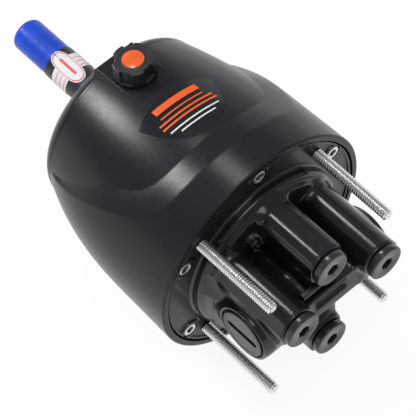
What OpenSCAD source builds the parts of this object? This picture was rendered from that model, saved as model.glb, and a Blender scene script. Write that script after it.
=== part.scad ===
/* [Housing] */
// Outer radius of the housing at its mounting rim
rim_r = 83; // [82:0.25:85]
// Width of the rim around the flange plate
rim_w = 4.3; // [3.8:0.1:5]
// Distance from the mounting face to the start of the rounded front
shoulder_s = 129; // [127:0.5:132]
// Length of the rounded front, from the shoulder to the tip of the dome
dome_h = 22; // [20.5:0.5:24]
// Wall thickness of the housing
wall_t = 4.5; // [4:0.25:5]
// Radius loss of the skirt for each millimetre from the rim
skirt_taper = 0.036; // [0.03:0.002:0.042]
// Distance at which the skirt starts to bend inwards
skirt_bend_s = 45; // [40:1:50]
// Radius that the bend takes off the skirt at the shoulder
skirt_drop = 14.9; // [14:0.1:15.5]
// How far the hood lies below the skirt at the hood's rear edge
hood_step = 3.3; // [2.8:0.1:3.8]
// Width of the sloping band between the skirt and the hood
band_w = 16; // [12:0.5:18]
// Distance from the mounting face to the band's rear edge on top
band_s = 23; // [20:0.5:28]
// Half angle of the hood at its rear edge
band_angle = 48.5; // [44:0.5:52]
// Radius of the nose around the shaft
nose_r = 17.5; // [17:0.25:18.5]
// Distance from the mounting face to the end of the nose
nose_s = 159; // [157:0.5:161]

/* [Fill opening] */
// Distance from the mounting face to the axis of the fill cap
fill_s = 113.5; // [111:0.5:115]
// Height of the pad above the hood, on the fill cap's axis
pad_rise = 0.05; // [0:0.05:1]
// Forward tilt of the pad and the fill cap
fill_tilt = 5; // [3:0.5:7]
// Width of the pad's flat top
pad_w = 30; // [29:0.5:32]
// Radius of the fill cap
cap_r = 13.6; // [13:0.2:14]
// Height of the fill cap above its gasket
cap_h = 12; // [11:0.5:13]
// Number of lobes on the fill cap
cap_lobes = 5; // [4:1:7]
// Depth of the recesses between the lobes
cap_notch = 1.8; // [1.2:0.1:2.2]

/* [Mounting] */
// Distance between neighbouring studs
stud_pitch = 96; // [95:0.5:97]
// Diameter of the studs
stud_d = 8; // [7.5:0.25:8.5]
// Distance from the mounting face to the stud tips
stud_out = 62; // [50:1:80]
// Distance from the flange plate's edge to the cover screws
cover_screw_edge = 6.2; // [6:0.05:6.5]

/* [Valve body] */
// Radius of the raised disc on the flange plate
disc_r = 58.5; // [57:0.25:60]
// Height of the raised disc above the mounting face
disc_y = 6; // [5:0.25:7]
// Radius of the hub on the disc
hub_r = 53.5; // [52:0.5:55]
// Height of the hub above the mounting face
hub_y = 9; // [8:0.25:11]
// Distance of the side barrels from the middle plane
side_x = 34.9; // [34:0.1:36]
// Height of the side barrels above the shaft axis
side_z = 22.4; // [22:0.1:23.5]
// Distance from the mounting face to the side plug faces
side_out = 74.8; // [72:0.2:78]
// Height of the top barrel above the shaft axis, and depth of the bottom one
end_z = 40.6; // [40:0.1:41.5]
// Distance from the mounting face to the top and bottom plug faces
end_out = 63.4; // [62:0.2:66]
// Radius of the barrels
barrel_r = 13; // [12.6:0.1:13.4]
// Radius of the fillet at a barrel's root
root_r = 3.5; // [2.5:0.25:4]
// Distance of the port plug faces from the middle plane
port_x = 54; // [53:0.25:55]
// Distance from the mounting face to the axis of the ports
port_y = 40; // [39:0.25:41]
// Radius of the port bosses
port_r = 20.5; // [20:0.25:21.5]

/* [Shaft] */
// Diameter of the shaft
shaft_d = 19.05; // [18.5:0.05:19.2]
// Distance from the mounting face to the threaded tip of the shaft
shaft_tip_s = 226; // [224:0.5:228]
// Radius of the sleeve over the shaft's taper
sleeve_r = 12.15; // [12:0.05:12.5]
// Radius of the end cap on the shaft
end_cap_r = 11.8; // [11.6:0.05:12]
// Length of the end cap
end_cap_l = 34.8; // [33:0.2:36]

/* [Pump] */
// Number of pistons
pistons = 5; // [5:1:5]
// Radius of the circle of pistons
piston_circle_r = 21; // [20.5:0.25:21.5]
// Radius of a piston
piston_r = 6.5; // [6.25:0.05:6.6]
// Tilt of the swash plate
swash_tilt = 13; // [11:0.5:14]

/* [Hidden] */
$fn = 96;
// Overshoot of cutting tools past the face they cut
cut = 1;
// Gap between parts that sit in one another and stay put
seat_gap = 0.05;
// Radial gap of a turning or sliding fit
run_gap = 0.05;
// Gap between moving parts that pass each other
pass_gap = 0.3;

// Housing shell
housing_sides = 72;
skirt_rings = 20;
dome_rings = 8;
dome_last_angle = 83;
rim_round = 1.2;
skirt_power = 2.45;
hood_s = 40;
hood_slope = 0.059;
hood_bend = 0.0012;
band_side_slope = 0.335;
band_corner = 9;
band_mm_per_deg = 1.4;
band_end_s = 118;
band_fade = 45;
band_least = 0.08;
plate_t = 9;
plate_gap = 1.2;
plate_r = rim_r - rim_w - plate_gap;
ledge_t = 4;
cover_screw_r = plate_r - cover_screw_edge;
cover_boss_r = 6;
cover_boss_h = 15;
cover_screw_d = 6;
cover_angles = [30:60:330];

// Fill opening
fill_z = hood_radius(fill_s) + pad_rise;
pad_draft = 4;
pad_depth = 8;
pad_back = 24;
pad_front = 21;
neck_r = 8.2;
neck_wall = 3.4;
neck_l = 14;
cap_round = 1.4;
cap_foot = 0.6;
cap_notch_h = 3;
cap_notch_share = 0.45;
cap_rest_angle = -10;
cap_stem_l = 11;
cap_stem_wall = 2.2;
gasket_t = 1.2;
badge_r = 7.1;
badge_t = 1.4;
badge_sink = 0.8;
cap_gap = 1;

// Nose
bush_r = 12;
bush_s = 137.5;
seal_r = 14.5;
seal_t = 5;
nose_inner_r = 18;
nose_inner_s = 134;

// Valve body
plate_drop = 1.5;
lip_w = 1.8;
lip_drop = 0.5;
screw_pad_r = 8;
screw_pad_h = 1.1;
disc_round = 3;
disc_foot = 2;
hub_round = 1.6;
barrel_round = 1;
box_top_z = 19;
box_low_z = -2;
rear_plate_y = 62;
lower_box_y = 46;
lower_box_z = -20;
lower_box_x = 28;
barrel_wall_x = 12;
pocket_w = 25.5;
pocket_h = 9;
pocket_z = 11;
pocket_depth = 1.6;
web_x = 27;
web_t = side_x + barrel_r - web_x - 0.4;
stub_d = 5;
stub_x = 20.5;
stub_y = 57;
stub_z = 24;
boss_x = 17.5;
boss_z = 33;
boss_r = 4.6;
boss_y = 16;
boss_hole_r = 2;
boss_hole_depth = 3;
plug_head_t = 4.5;
plug_groove = 1;
plug_face = plug_groove + plug_head_t;
plug_r = 12.5;
plug_round = 1.2;
plug_hex = 8;
plug_hex_depth = 6;
plug_stem_r = 9;
plug_stem_l = 13;
plug_pocket_r = 5.2;
plug_pocket_depth = 5;
chamber_r = 6.5;
chamber_l = 36;
seat_r = 3.2;
seat_l = 8;
cross_r = 2.6;
ball_r = 4.5;
check_wire_r = 0.45;
check_coil_r = 3.4;
check_turns = 5;
port_round = 1.2;
port_plug_r = 17;
port_plug_t = 3;
port_stem_r = 13.5;
port_stem_l = 12;
port_bore_r = 8;
port_bore_x = 18;
slot_w = 3;
slot_l = 26;
slot_depth = 2;
socket_r = 18.2;
socket_depth = 2.4;

// Shaft
shaft_r = shaft_d / 2;
pilot_r = 6;
pilot_s = 1;
spline_s = 14;
collar_r = 12;
collar_s = 91;
bearing_s = 97.5;
bearing_w = 11.1;
bearing_r = 20.6;
ring_groove_r = 8.7;
ring_w = 1.2;
taper_s = 178;
taper_l = 27;
taper_rate = 1 / 12;
thread_r = 7.8;
key_w = 4.8;
key_h = 4.8;
key_l = 14;
key_sink = 0.4;
key_bed_r = shaft_r - key_h / 2 - 0.8;
sleeve_s = nose_s + 1;
sleeve_t = 0.95;
sleeve_collar = 6;
end_cap_tip_s = shaft_tip_s + 3;
end_cap_s = end_cap_tip_s - end_cap_l;
key_gap = 1.2;
key_s = end_cap_s - key_l - key_gap;
end_cap_round = 4;
end_cap_wall = 1.1;
tag_t = 0.5;
tag_inset = 13.5;
tag_s = sleeve_s + tag_inset;
tag_l = 13.5;
tag_oval_l = 28.6;
tag_oval_w = 12.9;
tag_turn = 15.5;

// Pump
case_r = 44;
case_wall_t = 6;
case_bore_r = case_r - case_wall_t;
case_screw_d = 6;
case_head_d = 8;
case_head_h = 5.5;
case_socket = 5;
case_head_gap = 0.2;
case_screw_r = case_r + case_head_d / 2 + case_head_gap;
case_flange_edge = 3.8;
case_flange_r = case_screw_r + case_flange_edge;
case_flange_t = 7;
case_screw_end = 2;
ledge_gap = 3;
ledge_r = case_flange_r + ledge_gap;
seal_edge = 4.5;
seal_ring_r = ledge_r + seal_edge;
seal_cord_r = 1.4;
seal_slack = 0.5;
case_wall_s = 90;
case_end_t = 7;
case_boss_r = 27;
case_boss_s = 110;
case_hole_r = 7;
case_hole_s = 44;
valve_plate_gap = 4;
valve_plate_r = case_bore_r - valve_plate_gap;
valve_plate_t = 5;
rotor_gap = 5;
rotor_r = case_bore_r - rotor_gap;
rotor_s = plate_t + valve_plate_t + 0.1;
rotor_end_s = 52;
swash_s = 72;
race_t = 4;
race_gap = 8;
race_r = case_bore_r - race_gap;
swash_hole_r = 12.5;
piston_stroke = 2 * piston_circle_r * tan(swash_tilt);
piston_end_gap = 1.2;
piston_tip_s = swash_s - piston_circle_r * tan(swash_tilt) - piston_stroke - piston_end_gap;
piston_l = 32;
bore_end_gap = 2.25;
bore_s = piston_tip_s - piston_l - bore_end_gap;
piston_hollow_r = 4.4;
piston_hollow_l = 22;
piston_nose_r = 9;
piston_wire_r = 0.6;
piston_coil_r = 3.2;
piston_turns = 7;
pin_r = 2.5;
pin_s = 30;
pin_l = 26;
bearing_balls_n = 9;
bearing_ball_r = 3.2;
bearing_pitch_r = 15.2;
kidney_w = 8;
kidney_angle = 116;

housing_color = [0.17, 0.17, 0.18];
casting_color = [0.06, 0.06, 0.07];
steel_color = [0.75, 0.75, 0.77];
brass_color = [0.75, 0.6, 0.3];
rubber_color = [0.08, 0.08, 0.08];

// Local +Z points to the front and local +Y up
module facing_front() {
    rotate([90, 0, 0]) children();
}

// Local +Z points to the rear and local +Y up
module facing_rear() {
    rotate([90, 0, 180]) children();
}

// Local +Z is the fill cap's axis, with its zero on top of the pad
module on_pad() {
    translate([0, -fill_s, fill_z]) rotate([fill_tilt, 0, 0]) children();
}

// Points along a circle's arc, for rounding a profile
function arc(x, y, r, from, to, steps = 5) =
    [for (i = [0:steps]) let (a = from + (to - from) * i / steps) [x + r * cos(a), y + r * sin(a)]];

function limit(v, low, high) = min(max(v, low), high);

// Radius of the skirt, of the hood and of the dome at a distance s from the mounting face
function skirt_radius(s) = rim_r - skirt_taper * s
    - skirt_drop * pow(max(0, (s - skirt_bend_s) / (shoulder_s - skirt_bend_s)), skirt_power);
function hood_radius(s) = rim_r - skirt_taper * hood_s - hood_step
    - hood_slope * (s - hood_s) - hood_bend * pow(s - hood_s, 2);
function dome_radius(s, start_r, h) = start_r * sqrt(max(0, 1 - pow((s - shoulder_s) / h, 2)));

// Distance inside the hood's outline, which is a rear edge and two sides joined by round corners
function rear_inset(s) = s - band_s;
function side_inset(s, a) = (band_angle + band_side_slope * (s - band_s) - a) * band_mm_per_deg;
function round_min(u, v) = (u + v - sqrt(pow(u - v, 2) + 4 * pow(band_corner, 2))) / 2;
function band_width(s) = band_w * limit((band_end_s - s) / band_fade, band_least, 1);
function hood_share(s, a) = limit(round_min(rear_inset(s), side_inset(s, a)) / band_width(s), 0, 1);
function shell_radius(s, a) = s >= shoulder_s
    ? dome_radius(s, hood_radius(shoulder_s), dome_h)
    : skirt_radius(s) - hood_share(s, a) * max(0, skirt_radius(s) - hood_radius(s));

function ring_distance(i) = i < skirt_rings
    ? rim_round + i * (shoulder_s - rim_round) / skirt_rings
    : shoulder_s + dome_h * sin(dome_last_angle * (i - skirt_rings) / dome_rings);

// Solid of the housing's outer form, lofted through rings of points
module housing_form() {
    rings = skirt_rings + dome_rings + 2;
    distances = concat([0], [for (i = [0:rings - 2]) ring_distance(i)]);
    radius_loss = concat([rim_round], [for (i = [0:rings - 2]) 0]);
    points = [for (k = [0:rings - 1]) for (j = [0:housing_sides - 1])
        let (a = 360 * j / housing_sides)
        let (r = shell_radius(distances[k], min(a, 360 - a)) - radius_loss[k])
        [r * sin(a), r * cos(a), distances[k]]];
    function at(k, j) = k * housing_sides + j % housing_sides;
    lower = [for (k = [0:rings - 2]) for (j = [0:housing_sides - 1]) [at(k, j), at(k, j + 1), at(k + 1, j)]];
    upper = [for (k = [0:rings - 2]) for (j = [0:housing_sides - 1])
        [at(k, j + 1), at(k + 1, j + 1), at(k + 1, j)]];
    rear = [for (j = [housing_sides - 1:-1:0]) at(0, j)];
    front = [for (j = [0:housing_sides - 1]) at(rings - 1, j)];
    polyhedron(points, concat(lower, upper, [rear], [front]));
}

// Room inside the housing, with the screw bosses, the nose and the fill neck left standing
module housing_room() {
    inner_h = dome_h - wall_t;
    inner_shoulder_r = hood_radius(shoulder_s) - wall_t;
    room_s = plate_t + ledge_t;
    steps = 12;
    side = [for (i = [0:steps]) let (s = room_s + i * (shoulder_s - room_s) / steps)
        [hood_radius(max(s, hood_s)) - wall_t, s]];
    dome = [for (i = [1:dome_rings]) let (a = 90 * i / dome_rings)
        [inner_shoulder_r * cos(a), shoulder_s + inner_h * sin(a)]];
    difference() {
        union() {
            rotate_extrude() polygon(concat([[0, room_s]], side, dome));
            translate([0, 0, plate_t - cut]) cylinder(r = ledge_r, h = ledge_t + 2 * cut);
        }
        for (a = cover_angles) rotate(a) translate([cover_screw_r, 0, room_s - cut])
            cylinder(r = cover_boss_r, h = cover_boss_h);
        translate([0, 0, nose_inner_s]) cylinder(r = nose_inner_r, h = dome_h);
        rotate([-90, 0, 0]) on_pad() translate([0, 0, -neck_l]) cylinder(r = neck_r + neck_wall, h = neck_l);
    }
}

module fill_pad() {
    rotate([-90, 0, 0]) on_pad() translate([0, pad_back, 0]) rotate([90, 0, 0])
        linear_extrude(pad_back + pad_front) polygon([
            [-pad_w / 2 - pad_draft, -pad_depth], [pad_w / 2 + pad_draft, -pad_depth],
            [pad_w / 2, 0], [-pad_w / 2, 0]]);
}

module front_housing() {
    color(housing_color) facing_front() difference() {
        union() {
            housing_form();
            cylinder(r = nose_r, h = nose_s);
            fill_pad();
        }
        housing_room();
        translate([0, 0, -cut]) cylinder(r = plate_r + plate_gap, h = plate_t + cut);
        for (a = cover_angles) rotate(a) translate([cover_screw_r, 0, 0])
            cylinder(d = cover_screw_d + 2 * seat_gap, h = plate_t + ledge_t + cover_boss_h - 3);
        translate([0, 0, bush_s]) cylinder(r = bush_r, h = nose_s);
        translate([0, 0, nose_inner_s - cut]) cylinder(r = shaft_r + 1, h = nose_s);
        translate([0, 0, nose_s - seal_t]) cylinder(r = seal_r, h = seal_t + cut);
        rotate([-90, 0, 0]) on_pad() {
            translate([0, 0, -neck_l - cut]) cylinder(r = neck_r, h = neck_l + 2 * cut);
            cylinder(r = cap_r + cap_gap, h = cap_h);
        }
    }
}

// Rubber ring with a round section, lying in the XY plane
module o_ring(ring_r, cord_r) {
    rotate_extrude() translate([ring_r, 0]) circle(r = cord_r, $fn = 24);
}

module housing_seal() {
    color(rubber_color) facing_front() translate([0, 0, plate_t - seal_cord_r - seat_gap])
        o_ring(seal_ring_r, seal_cord_r);
}

// Socket-head screw with its head's top at zero, pointing down local -Z
module cap_screw(d, head_d, head_h, socket, l) {
    difference() {
        union() {
            translate([0, 0, -head_h]) cylinder(d = head_d, h = head_h);
            translate([0, 0, -l]) cylinder(d = d, h = l);
        }
        translate([0, 0, -head_h / 2]) cylinder(d = socket / cos(30), h = head_h, $fn = 6);
    }
}

cover_head_d = 10;
cover_head_h = 5;
cover_socket = 5;
cover_head_y = -0.6;
cover_screw_l = 22;

module cover_screws() {
    color(steel_color) facing_rear() for (a = cover_angles) rotate(a)
        translate([cover_screw_r, 0, cover_head_y])
            cap_screw(cover_screw_d, cover_head_d, cover_head_h, cover_socket, cover_screw_l);
}

stud_chamfer = 0.8;
stud_core_d = stud_d - 1;
stud_floor = 0.4;
stud_root_l = plate_t - 2 * seal_cord_r - stud_floor;

// Studs with a thinner root in the flange plate
module mounting_studs() {
    color(steel_color) facing_rear() for (x = [-1, 1]) for (z = [-1, 1])
        translate([x * stud_pitch / 2, z * stud_pitch / 2, 0]) {
            translate([0, 0, -stud_root_l]) cylinder(d = stud_core_d, h = stud_root_l);
            translate([0, 0, -plate_drop]) cylinder(d = stud_d, h = plate_drop + stud_out - stud_chamfer);
            translate([0, 0, stud_out - stud_chamfer])
                cylinder(d1 = stud_d, d2 = stud_d - 2 * stud_chamfer, h = stud_chamfer);
        }
}

// Places of the four valve barrels: across, up, distance to the plug face
top_valve = [0, end_z, end_out];
bottom_valve = [0, -end_z, end_out];
left_valve = [-side_x, side_z, side_out];
right_valve = [side_x, side_z, side_out];
valves = [top_valve, bottom_valve, left_valve, right_valve];

// Distance to the end of a barrel
function barrel_end(v) = v[2] - plug_face;

module at_valve(v) {
    facing_rear() translate([-v[0], v[1], barrel_end(v)]) children();
}

// Solid of the casting's flange: plate with a lip, screw pads, rounded disc and hub
module flange_form() {
    rotate_extrude() polygon(concat(
        [[0, -plate_t], [plate_r, -plate_t], [plate_r, -lip_drop], [plate_r - lip_w, -lip_drop],
            [plate_r - lip_w, -plate_drop]],
        arc(disc_r + disc_foot, disc_foot - plate_drop, disc_foot, 270, 180),
        arc(disc_r - disc_round, disc_y - disc_round, disc_round, 0, 90),
        [[hub_r, disc_y]],
        arc(hub_r - hub_round, hub_y - hub_round, hub_round, 0, 90),
        [[0, hub_y]]));
    pad_h = plate_t - plate_drop + screw_pad_h;
    translate([0, 0, -plate_t]) intersection() {
        for (a = cover_angles) rotate(a) translate([cover_screw_r, 0, 0])
            cylinder(r = screw_pad_r, h = pad_h);
        cylinder(r = plate_r - lip_w / 2, h = pad_h);
    }
}

// Barrel with a fillet at its root and a rounded end
module barrel(v) {
    end = barrel_end(v);
    translate([v[0], v[1], 0]) rotate_extrude() polygon(concat(
        [[0, 0], [barrel_r + root_r, 0]],
        arc(barrel_r + root_r, disc_y + root_r, root_r, 270, 180),
        arc(barrel_r - barrel_round, end - barrel_round, barrel_round, 0, 90),
        [[0, end]]));
}

// Wall from a side barrel down to a port boss, with a slanting rear edge
module port_web() {
    web_end = barrel_end(left_valve) - 1.5;
    web = [[0, -port_r], [port_y, -port_r], [port_y + 0.5 * port_r, -0.8 * port_r],
        [web_end, side_z - 0.8 * barrel_r], [web_end, side_z], [0, side_z]];
    rotate([90, 0, 90]) linear_extrude(web_t) polygon([for (p = web) [p[1], p[0]]]);
}

module casting_form() {
    flange_form();
    for (v = valves) barrel(v);
    for (v = [top_valve, bottom_valve]) translate([-barrel_wall_x, min(v[1], 0), 0])
        cube([2 * barrel_wall_x, abs(v[1]), barrel_end(v) - 3]);
    translate([-side_x, box_low_z, 0]) cube([2 * side_x, box_top_z - box_low_z, rear_plate_y]);
    translate([-lower_box_x, lower_box_z, 0]) cube([2 * lower_box_x, -lower_box_z, lower_box_y]);
    for (side = [0, 180]) translate([0, 0, port_y]) rotate(side) rotate([0, 90, 0])
        rotate_extrude() polygon(concat([[0, 0], [port_r, 0]],
            arc(port_r - port_round, port_x - port_round, port_round, 0, 90), [[0, port_x]]));
    translate([-boss_x, boss_z, 0]) cylinder(r = boss_r, h = boss_y);
    translate([-stub_x, stub_z, stub_y]) rotate([0, 90, 0]) cylinder(d = stub_d, h = stub_x);
    for (x = [-web_x - web_t, web_x]) translate([x, 0, 0]) port_web();
}

// Room for a plug's stem, the ball chamber, the seat and the drilling behind it
module valve_bore(v) {
    translate([v[0], v[1], barrel_end(v)]) {
        translate([0, 0, -plug_stem_l - 1]) cylinder(r = plug_stem_r + seat_gap, h = plug_stem_l + 2);
        translate([0, 0, -chamber_l]) cylinder(r = chamber_r, h = chamber_l);
        translate([0, 0, -chamber_l - seat_l]) cylinder(r = seat_r, h = seat_l + 1);
    }
}

module port_bore() {
    rotate([0, 90, 0]) {
        translate([0, 0, port_x - socket_depth]) cylinder(r = socket_r, h = socket_depth + cut);
        translate([0, 0, port_x - port_stem_l - socket_depth - 1])
            cylinder(r = port_stem_r + seat_gap, h = port_stem_l + 2);
        translate([0, 0, port_bore_x]) cylinder(r = port_bore_r, h = port_x - port_bore_x - 3);
    }
}

module valve_body() {
    color(casting_color) facing_rear() difference() {
        casting_form();
        for (v = valves) valve_bore(v);
        for (side = [0, 180]) translate([0, 0, port_y]) rotate(side) port_bore();
        for (v = [left_valve, right_valve]) translate([v[0], 0, port_y - port_bore_r + 1])
            rotate([-90, 0, 0]) cylinder(r = cross_r, h = side_z);
        for (side = [-1, 1]) {
            translate([0, side * piston_circle_r, barrel_end(top_valve) - chamber_l - seat_l / 2])
                rotate([-90 * side, 0, 0]) cylinder(r = cross_r, h = end_z - piston_circle_r);
            translate([0, side * piston_circle_r, -plate_t - cut])
                cylinder(r = cross_r, h = barrel_end(top_valve) - chamber_l + plate_t);
        }
        translate([-pocket_w / 2, pocket_z - pocket_h / 2, rear_plate_y - pocket_depth])
            cube([pocket_w, pocket_h, pocket_depth + cut]);
        translate([-boss_x, boss_z, boss_y - boss_hole_depth])
            cylinder(r = boss_hole_r, h = boss_hole_depth + cut);
        for (a = cover_angles) rotate(a) translate([cover_screw_r, 0, -plate_t - cut]) {
            cylinder(d = cover_screw_d + 0.4, h = 2 * plate_t);
            translate([0, 0, plate_t + cut + cover_head_y - cover_head_h])
                cylinder(d = cover_head_d + 0.7, h = plate_t);
        }
        for (x = [-1, 1]) for (z = [-1, 1])
            translate([x * stud_pitch / 2, z * stud_pitch / 2, -stud_root_l])
                cylinder(d = stud_core_d + 2 * seat_gap, h = 2 * plate_t);
        translate([0, 0, -plate_t]) rotate_extrude() translate([seal_ring_r, 0])
            square([2 * (seal_cord_r + seal_slack), 4 * seal_cord_r + 2 * seat_gap], center = true);
        translate([0, 0, -plate_t - cut]) cylinder(r = pilot_r + run_gap, h = plate_t - pilot_s + 1 + cut);
        for (a = [45:90:315]) rotate(a) translate([case_screw_r, 0, -plate_t - cut])
            cylinder(d = case_screw_d + 2 * seat_gap, h = plate_t + hub_y - 4);
    }
}

// Plug with a round head, a hex socket and a hollow stem
module valve_plug(v) {
    at_valve(v) difference() {
        rotate_extrude() polygon(concat(
            [[0, -plug_stem_l], [plug_stem_r, -plug_stem_l],
                [plug_stem_r, plug_groove], [plug_r, plug_groove]],
            arc(plug_r - plug_round, plug_face - plug_round, plug_round, 0, 90),
            [[0, plug_face]]));
        translate([0, 0, plug_face - plug_hex_depth])
            cylinder(d = plug_hex / cos(30), h = plug_hex_depth + cut, $fn = 6);
        translate([0, 0, -plug_stem_l - cut]) cylinder(r = plug_pocket_r, h = plug_pocket_depth + cut);
    }
}

module top_plug() { color(casting_color) valve_plug(top_valve); }
module bottom_plug() { color(casting_color) valve_plug(bottom_valve); }
module left_plug() { color(casting_color) valve_plug(left_valve); }
module right_plug() { color(casting_color) valve_plug(right_valve); }

plug_cord_r = plug_groove / 2;
plug_cord_gap = 1.2;

module plug_seals() {
    color(rubber_color) for (v = valves) at_valve(v) translate([0, 0, plug_cord_r])
        o_ring(plug_stem_r + plug_cord_r + plug_cord_gap, plug_cord_r - 0.02);
}

// Distance from a barrel's end to the ball resting on its seat
ball_rest = -chamber_l + sqrt(pow(ball_r, 2) - pow(seat_r, 2)) + 0.05;

module check_ball(v) { color(steel_color) at_valve(v) translate([0, 0, ball_rest]) sphere(r = ball_r); }
module top_check_ball() { check_ball(top_valve); }
module bottom_check_ball() { check_ball(bottom_valve); }
module left_check_ball() { check_ball(left_valve); }
module right_check_ball() { check_ball(right_valve); }

// Coil spring along local +Z from zero to l, with round wire
module coil(coil_r, wire_r, l, turns) {
    sides = 6;
    per_turn = 12;
    steps = turns * per_turn;
    travel = l - 2 * wire_r;
    slope = atan2(travel / turns, 2 * PI * coil_r);
    points = [for (i = [0:steps]) for (j = [0:sides - 1])
        let (a = 360 * i / per_turn, b = 360 * j / sides)
        let (out = coil_r + wire_r * cos(b), along = -wire_r * sin(b) * sin(slope))
        [out * cos(a) - along * sin(a), out * sin(a) + along * cos(a),
            wire_r + travel * i / steps + wire_r * sin(b) * cos(slope)]];
    walls = [for (i = [0:steps - 1]) for (j = [0:sides - 1])
        let (k = (j + 1) % sides)
        each [[i * sides + j, i * sides + k, (i + 1) * sides + j],
            [i * sides + k, (i + 1) * sides + k, (i + 1) * sides + j]]];
    start = [for (j = [sides - 1:-1:0]) j];
    end = [for (j = [0:sides - 1]) steps * sides + j];
    polyhedron(points, concat(walls, [start], [end]));
}

check_spring_low = ball_rest + sqrt(pow(ball_r, 2) - pow(check_coil_r - check_wire_r, 2));
check_spring_high = -plug_stem_l + plug_pocket_depth;

module check_spring(v) {
    color(steel_color) at_valve(v) translate([0, 0, check_spring_low + 0.3])
        coil(check_coil_r, check_wire_r, check_spring_high - check_spring_low - 0.4, check_turns);
}
module top_check_spring() { check_spring(top_valve); }
module bottom_check_spring() { check_spring(bottom_valve); }
module left_check_spring() { check_spring(left_valve); }
module right_check_spring() { check_spring(right_valve); }

// Local +Z points out of a port, with its zero on the port boss's face
module at_port(side) {
    translate([side * port_x, port_y, 0]) rotate([0, 90 * side, 0]) children();
}

module port_plug(side) {
    at_port(side) difference() {
        union() {
            translate([0, 0, -socket_depth]) cylinder(r = port_plug_r, h = port_plug_t - 0.6);
            translate([0, 0, -socket_depth + port_plug_t - 0.6])
                cylinder(r1 = port_plug_r, r2 = port_plug_r - 0.6, h = 0.6);
            translate([0, 0, -socket_depth - port_stem_l]) cylinder(r = port_stem_r, h = port_stem_l);
        }
        translate([-slot_w / 2, -slot_l / 2, port_plug_t - socket_depth - slot_depth])
            cube([slot_w, slot_l, slot_depth + cut]);
    }
}
module left_port_plug() { color(rubber_color) port_plug(-1); }
module right_port_plug() { color(rubber_color) port_plug(1); }

port_cord_r = 0.55;

module port_seals() {
    color(rubber_color) for (side = [-1, 1]) at_port(side) translate([0, 0, -socket_depth + port_cord_r])
        o_ring(port_plug_r + port_cord_r + 0.02, port_cord_r);
}

// Fill cap with recesses between its lobes, a hollow stem for the neck and a dish for its badge
module fill_cap() {
    lobe_pitch = 360 / cap_lobes;
    notch_angle = lobe_pitch * cap_notch_share;
    stem_r = neck_r - pass_gap;
    color(housing_color) on_pad() difference() {
        union() {
            translate([0, 0, gasket_t]) difference() {
                rotate_extrude() polygon(concat([[0, 0]],
                    arc(cap_r - cap_foot, cap_foot, cap_foot, 270, 360),
                    arc(cap_r - cap_round, cap_h - cap_round, cap_round, 0, 90), [[0, cap_h]]));
                for (i = [0:cap_lobes - 1]) rotate(cap_rest_angle + (i + 0.5) * lobe_pitch - notch_angle / 2)
                    rotate_extrude(angle = notch_angle) translate([cap_r - cap_notch, cap_notch_h])
                        square([2 * cap_notch, cap_h]);
            }
            translate([0, 0, -cap_stem_l]) cylinder(r = stem_r, h = cap_stem_l + gasket_t + cut);
        }
        translate([0, 0, gasket_t + cap_h - badge_sink]) cylinder(r = badge_r + seat_gap, h = cap_h);
        translate([0, 0, -cap_stem_l - cut]) cylinder(r = stem_r - cap_stem_wall, h = cap_stem_l + cut);
    }
}

module cap_badge() {
    rise = badge_t - badge_sink;
    dome_r = (pow(badge_r, 2) + pow(rise, 2)) / (2 * rise);
    half_angle = asin(badge_r / dome_r);
    color([1, 0.4, 0.08]) on_pad() translate([0, 0, gasket_t + cap_h - badge_sink])
        rotate_extrude() polygon(concat([[0, 0], [badge_r, 0]],
            arc(0, badge_t - dome_r, dome_r, 90 - half_angle, 90, 8)));
}

module cap_gasket() {
    color(rubber_color) on_pad() difference() {
        cylinder(r = cap_r - 1, h = gasket_t);
        translate([0, 0, -cut]) cylinder(r = neck_r, h = gasket_t + 2 * cut);
    }
}

// Shaft with a pilot, a bearing collar, a ring groove, a keyed taper and a threaded end
module steering_shaft() {
    taper_end_r = shaft_r - taper_l * taper_rate / 2;
    groove_s = bearing_s + bearing_w + 0.1;
    color(steel_color) facing_front() difference() {
        rotate_extrude() polygon([[0, pilot_s], [pilot_r, pilot_s], [pilot_r, spline_s],
            [shaft_r, spline_s], [shaft_r, collar_s], [collar_r, collar_s], [collar_r, bearing_s],
            [shaft_r, bearing_s], [shaft_r, groove_s], [ring_groove_r, groove_s],
            [ring_groove_r, groove_s + ring_w + 0.1], [shaft_r, groove_s + ring_w + 0.1],
            [shaft_r, taper_s], [taper_end_r, taper_s + taper_l], [thread_r, taper_s + taper_l],
            [thread_r, shaft_tip_s - 1], [thread_r - 1, shaft_tip_s], [0, shaft_tip_s]]);
        translate([-key_w / 2, key_bed_r, key_s]) cube([key_w, key_h, key_l]);
        translate([0, 0, pin_s]) rotate([0, 90, 0]) cylinder(r = pin_r, h = 4 * shaft_r, center = true);
    }
}

module shaft_key() {
    color(steel_color) facing_front() translate([-key_w / 2 + seat_gap, key_bed_r, key_s + seat_gap])
        cube([key_w - 2 * seat_gap, key_h - key_sink, key_l - 2 * seat_gap]);
}

module drive_pin() {
    color(steel_color) facing_front() translate([0, 0, pin_s]) rotate([0, 90, 0])
        cylinder(r = pin_r - 0.02, h = pin_l, center = true);
}

module retaining_ring() {
    color(steel_color) facing_front() translate([0, 0, bearing_s + bearing_w + 0.15]) difference() {
        cylinder(r = shaft_r + 2.5, h = ring_w);
        translate([0, 0, -cut]) cylinder(r = ring_groove_r + 0.02, h = ring_w + 2 * cut);
        translate([-2, 0, -cut]) cube([4, 2 * shaft_r, ring_w + 2 * cut]);
    }
}

module taper_sleeve() {
    color(rubber_color) facing_front() difference() {
        translate([0, 0, sleeve_s]) cylinder(r = sleeve_r, h = end_cap_s - sleeve_s);
        translate([0, 0, sleeve_s - cut]) cylinder(r = shaft_r + seat_gap, h = end_cap_s);
        translate([0, 0, sleeve_s + sleeve_collar]) cylinder(r = sleeve_r - sleeve_t, h = end_cap_s);
    }
}

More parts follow.
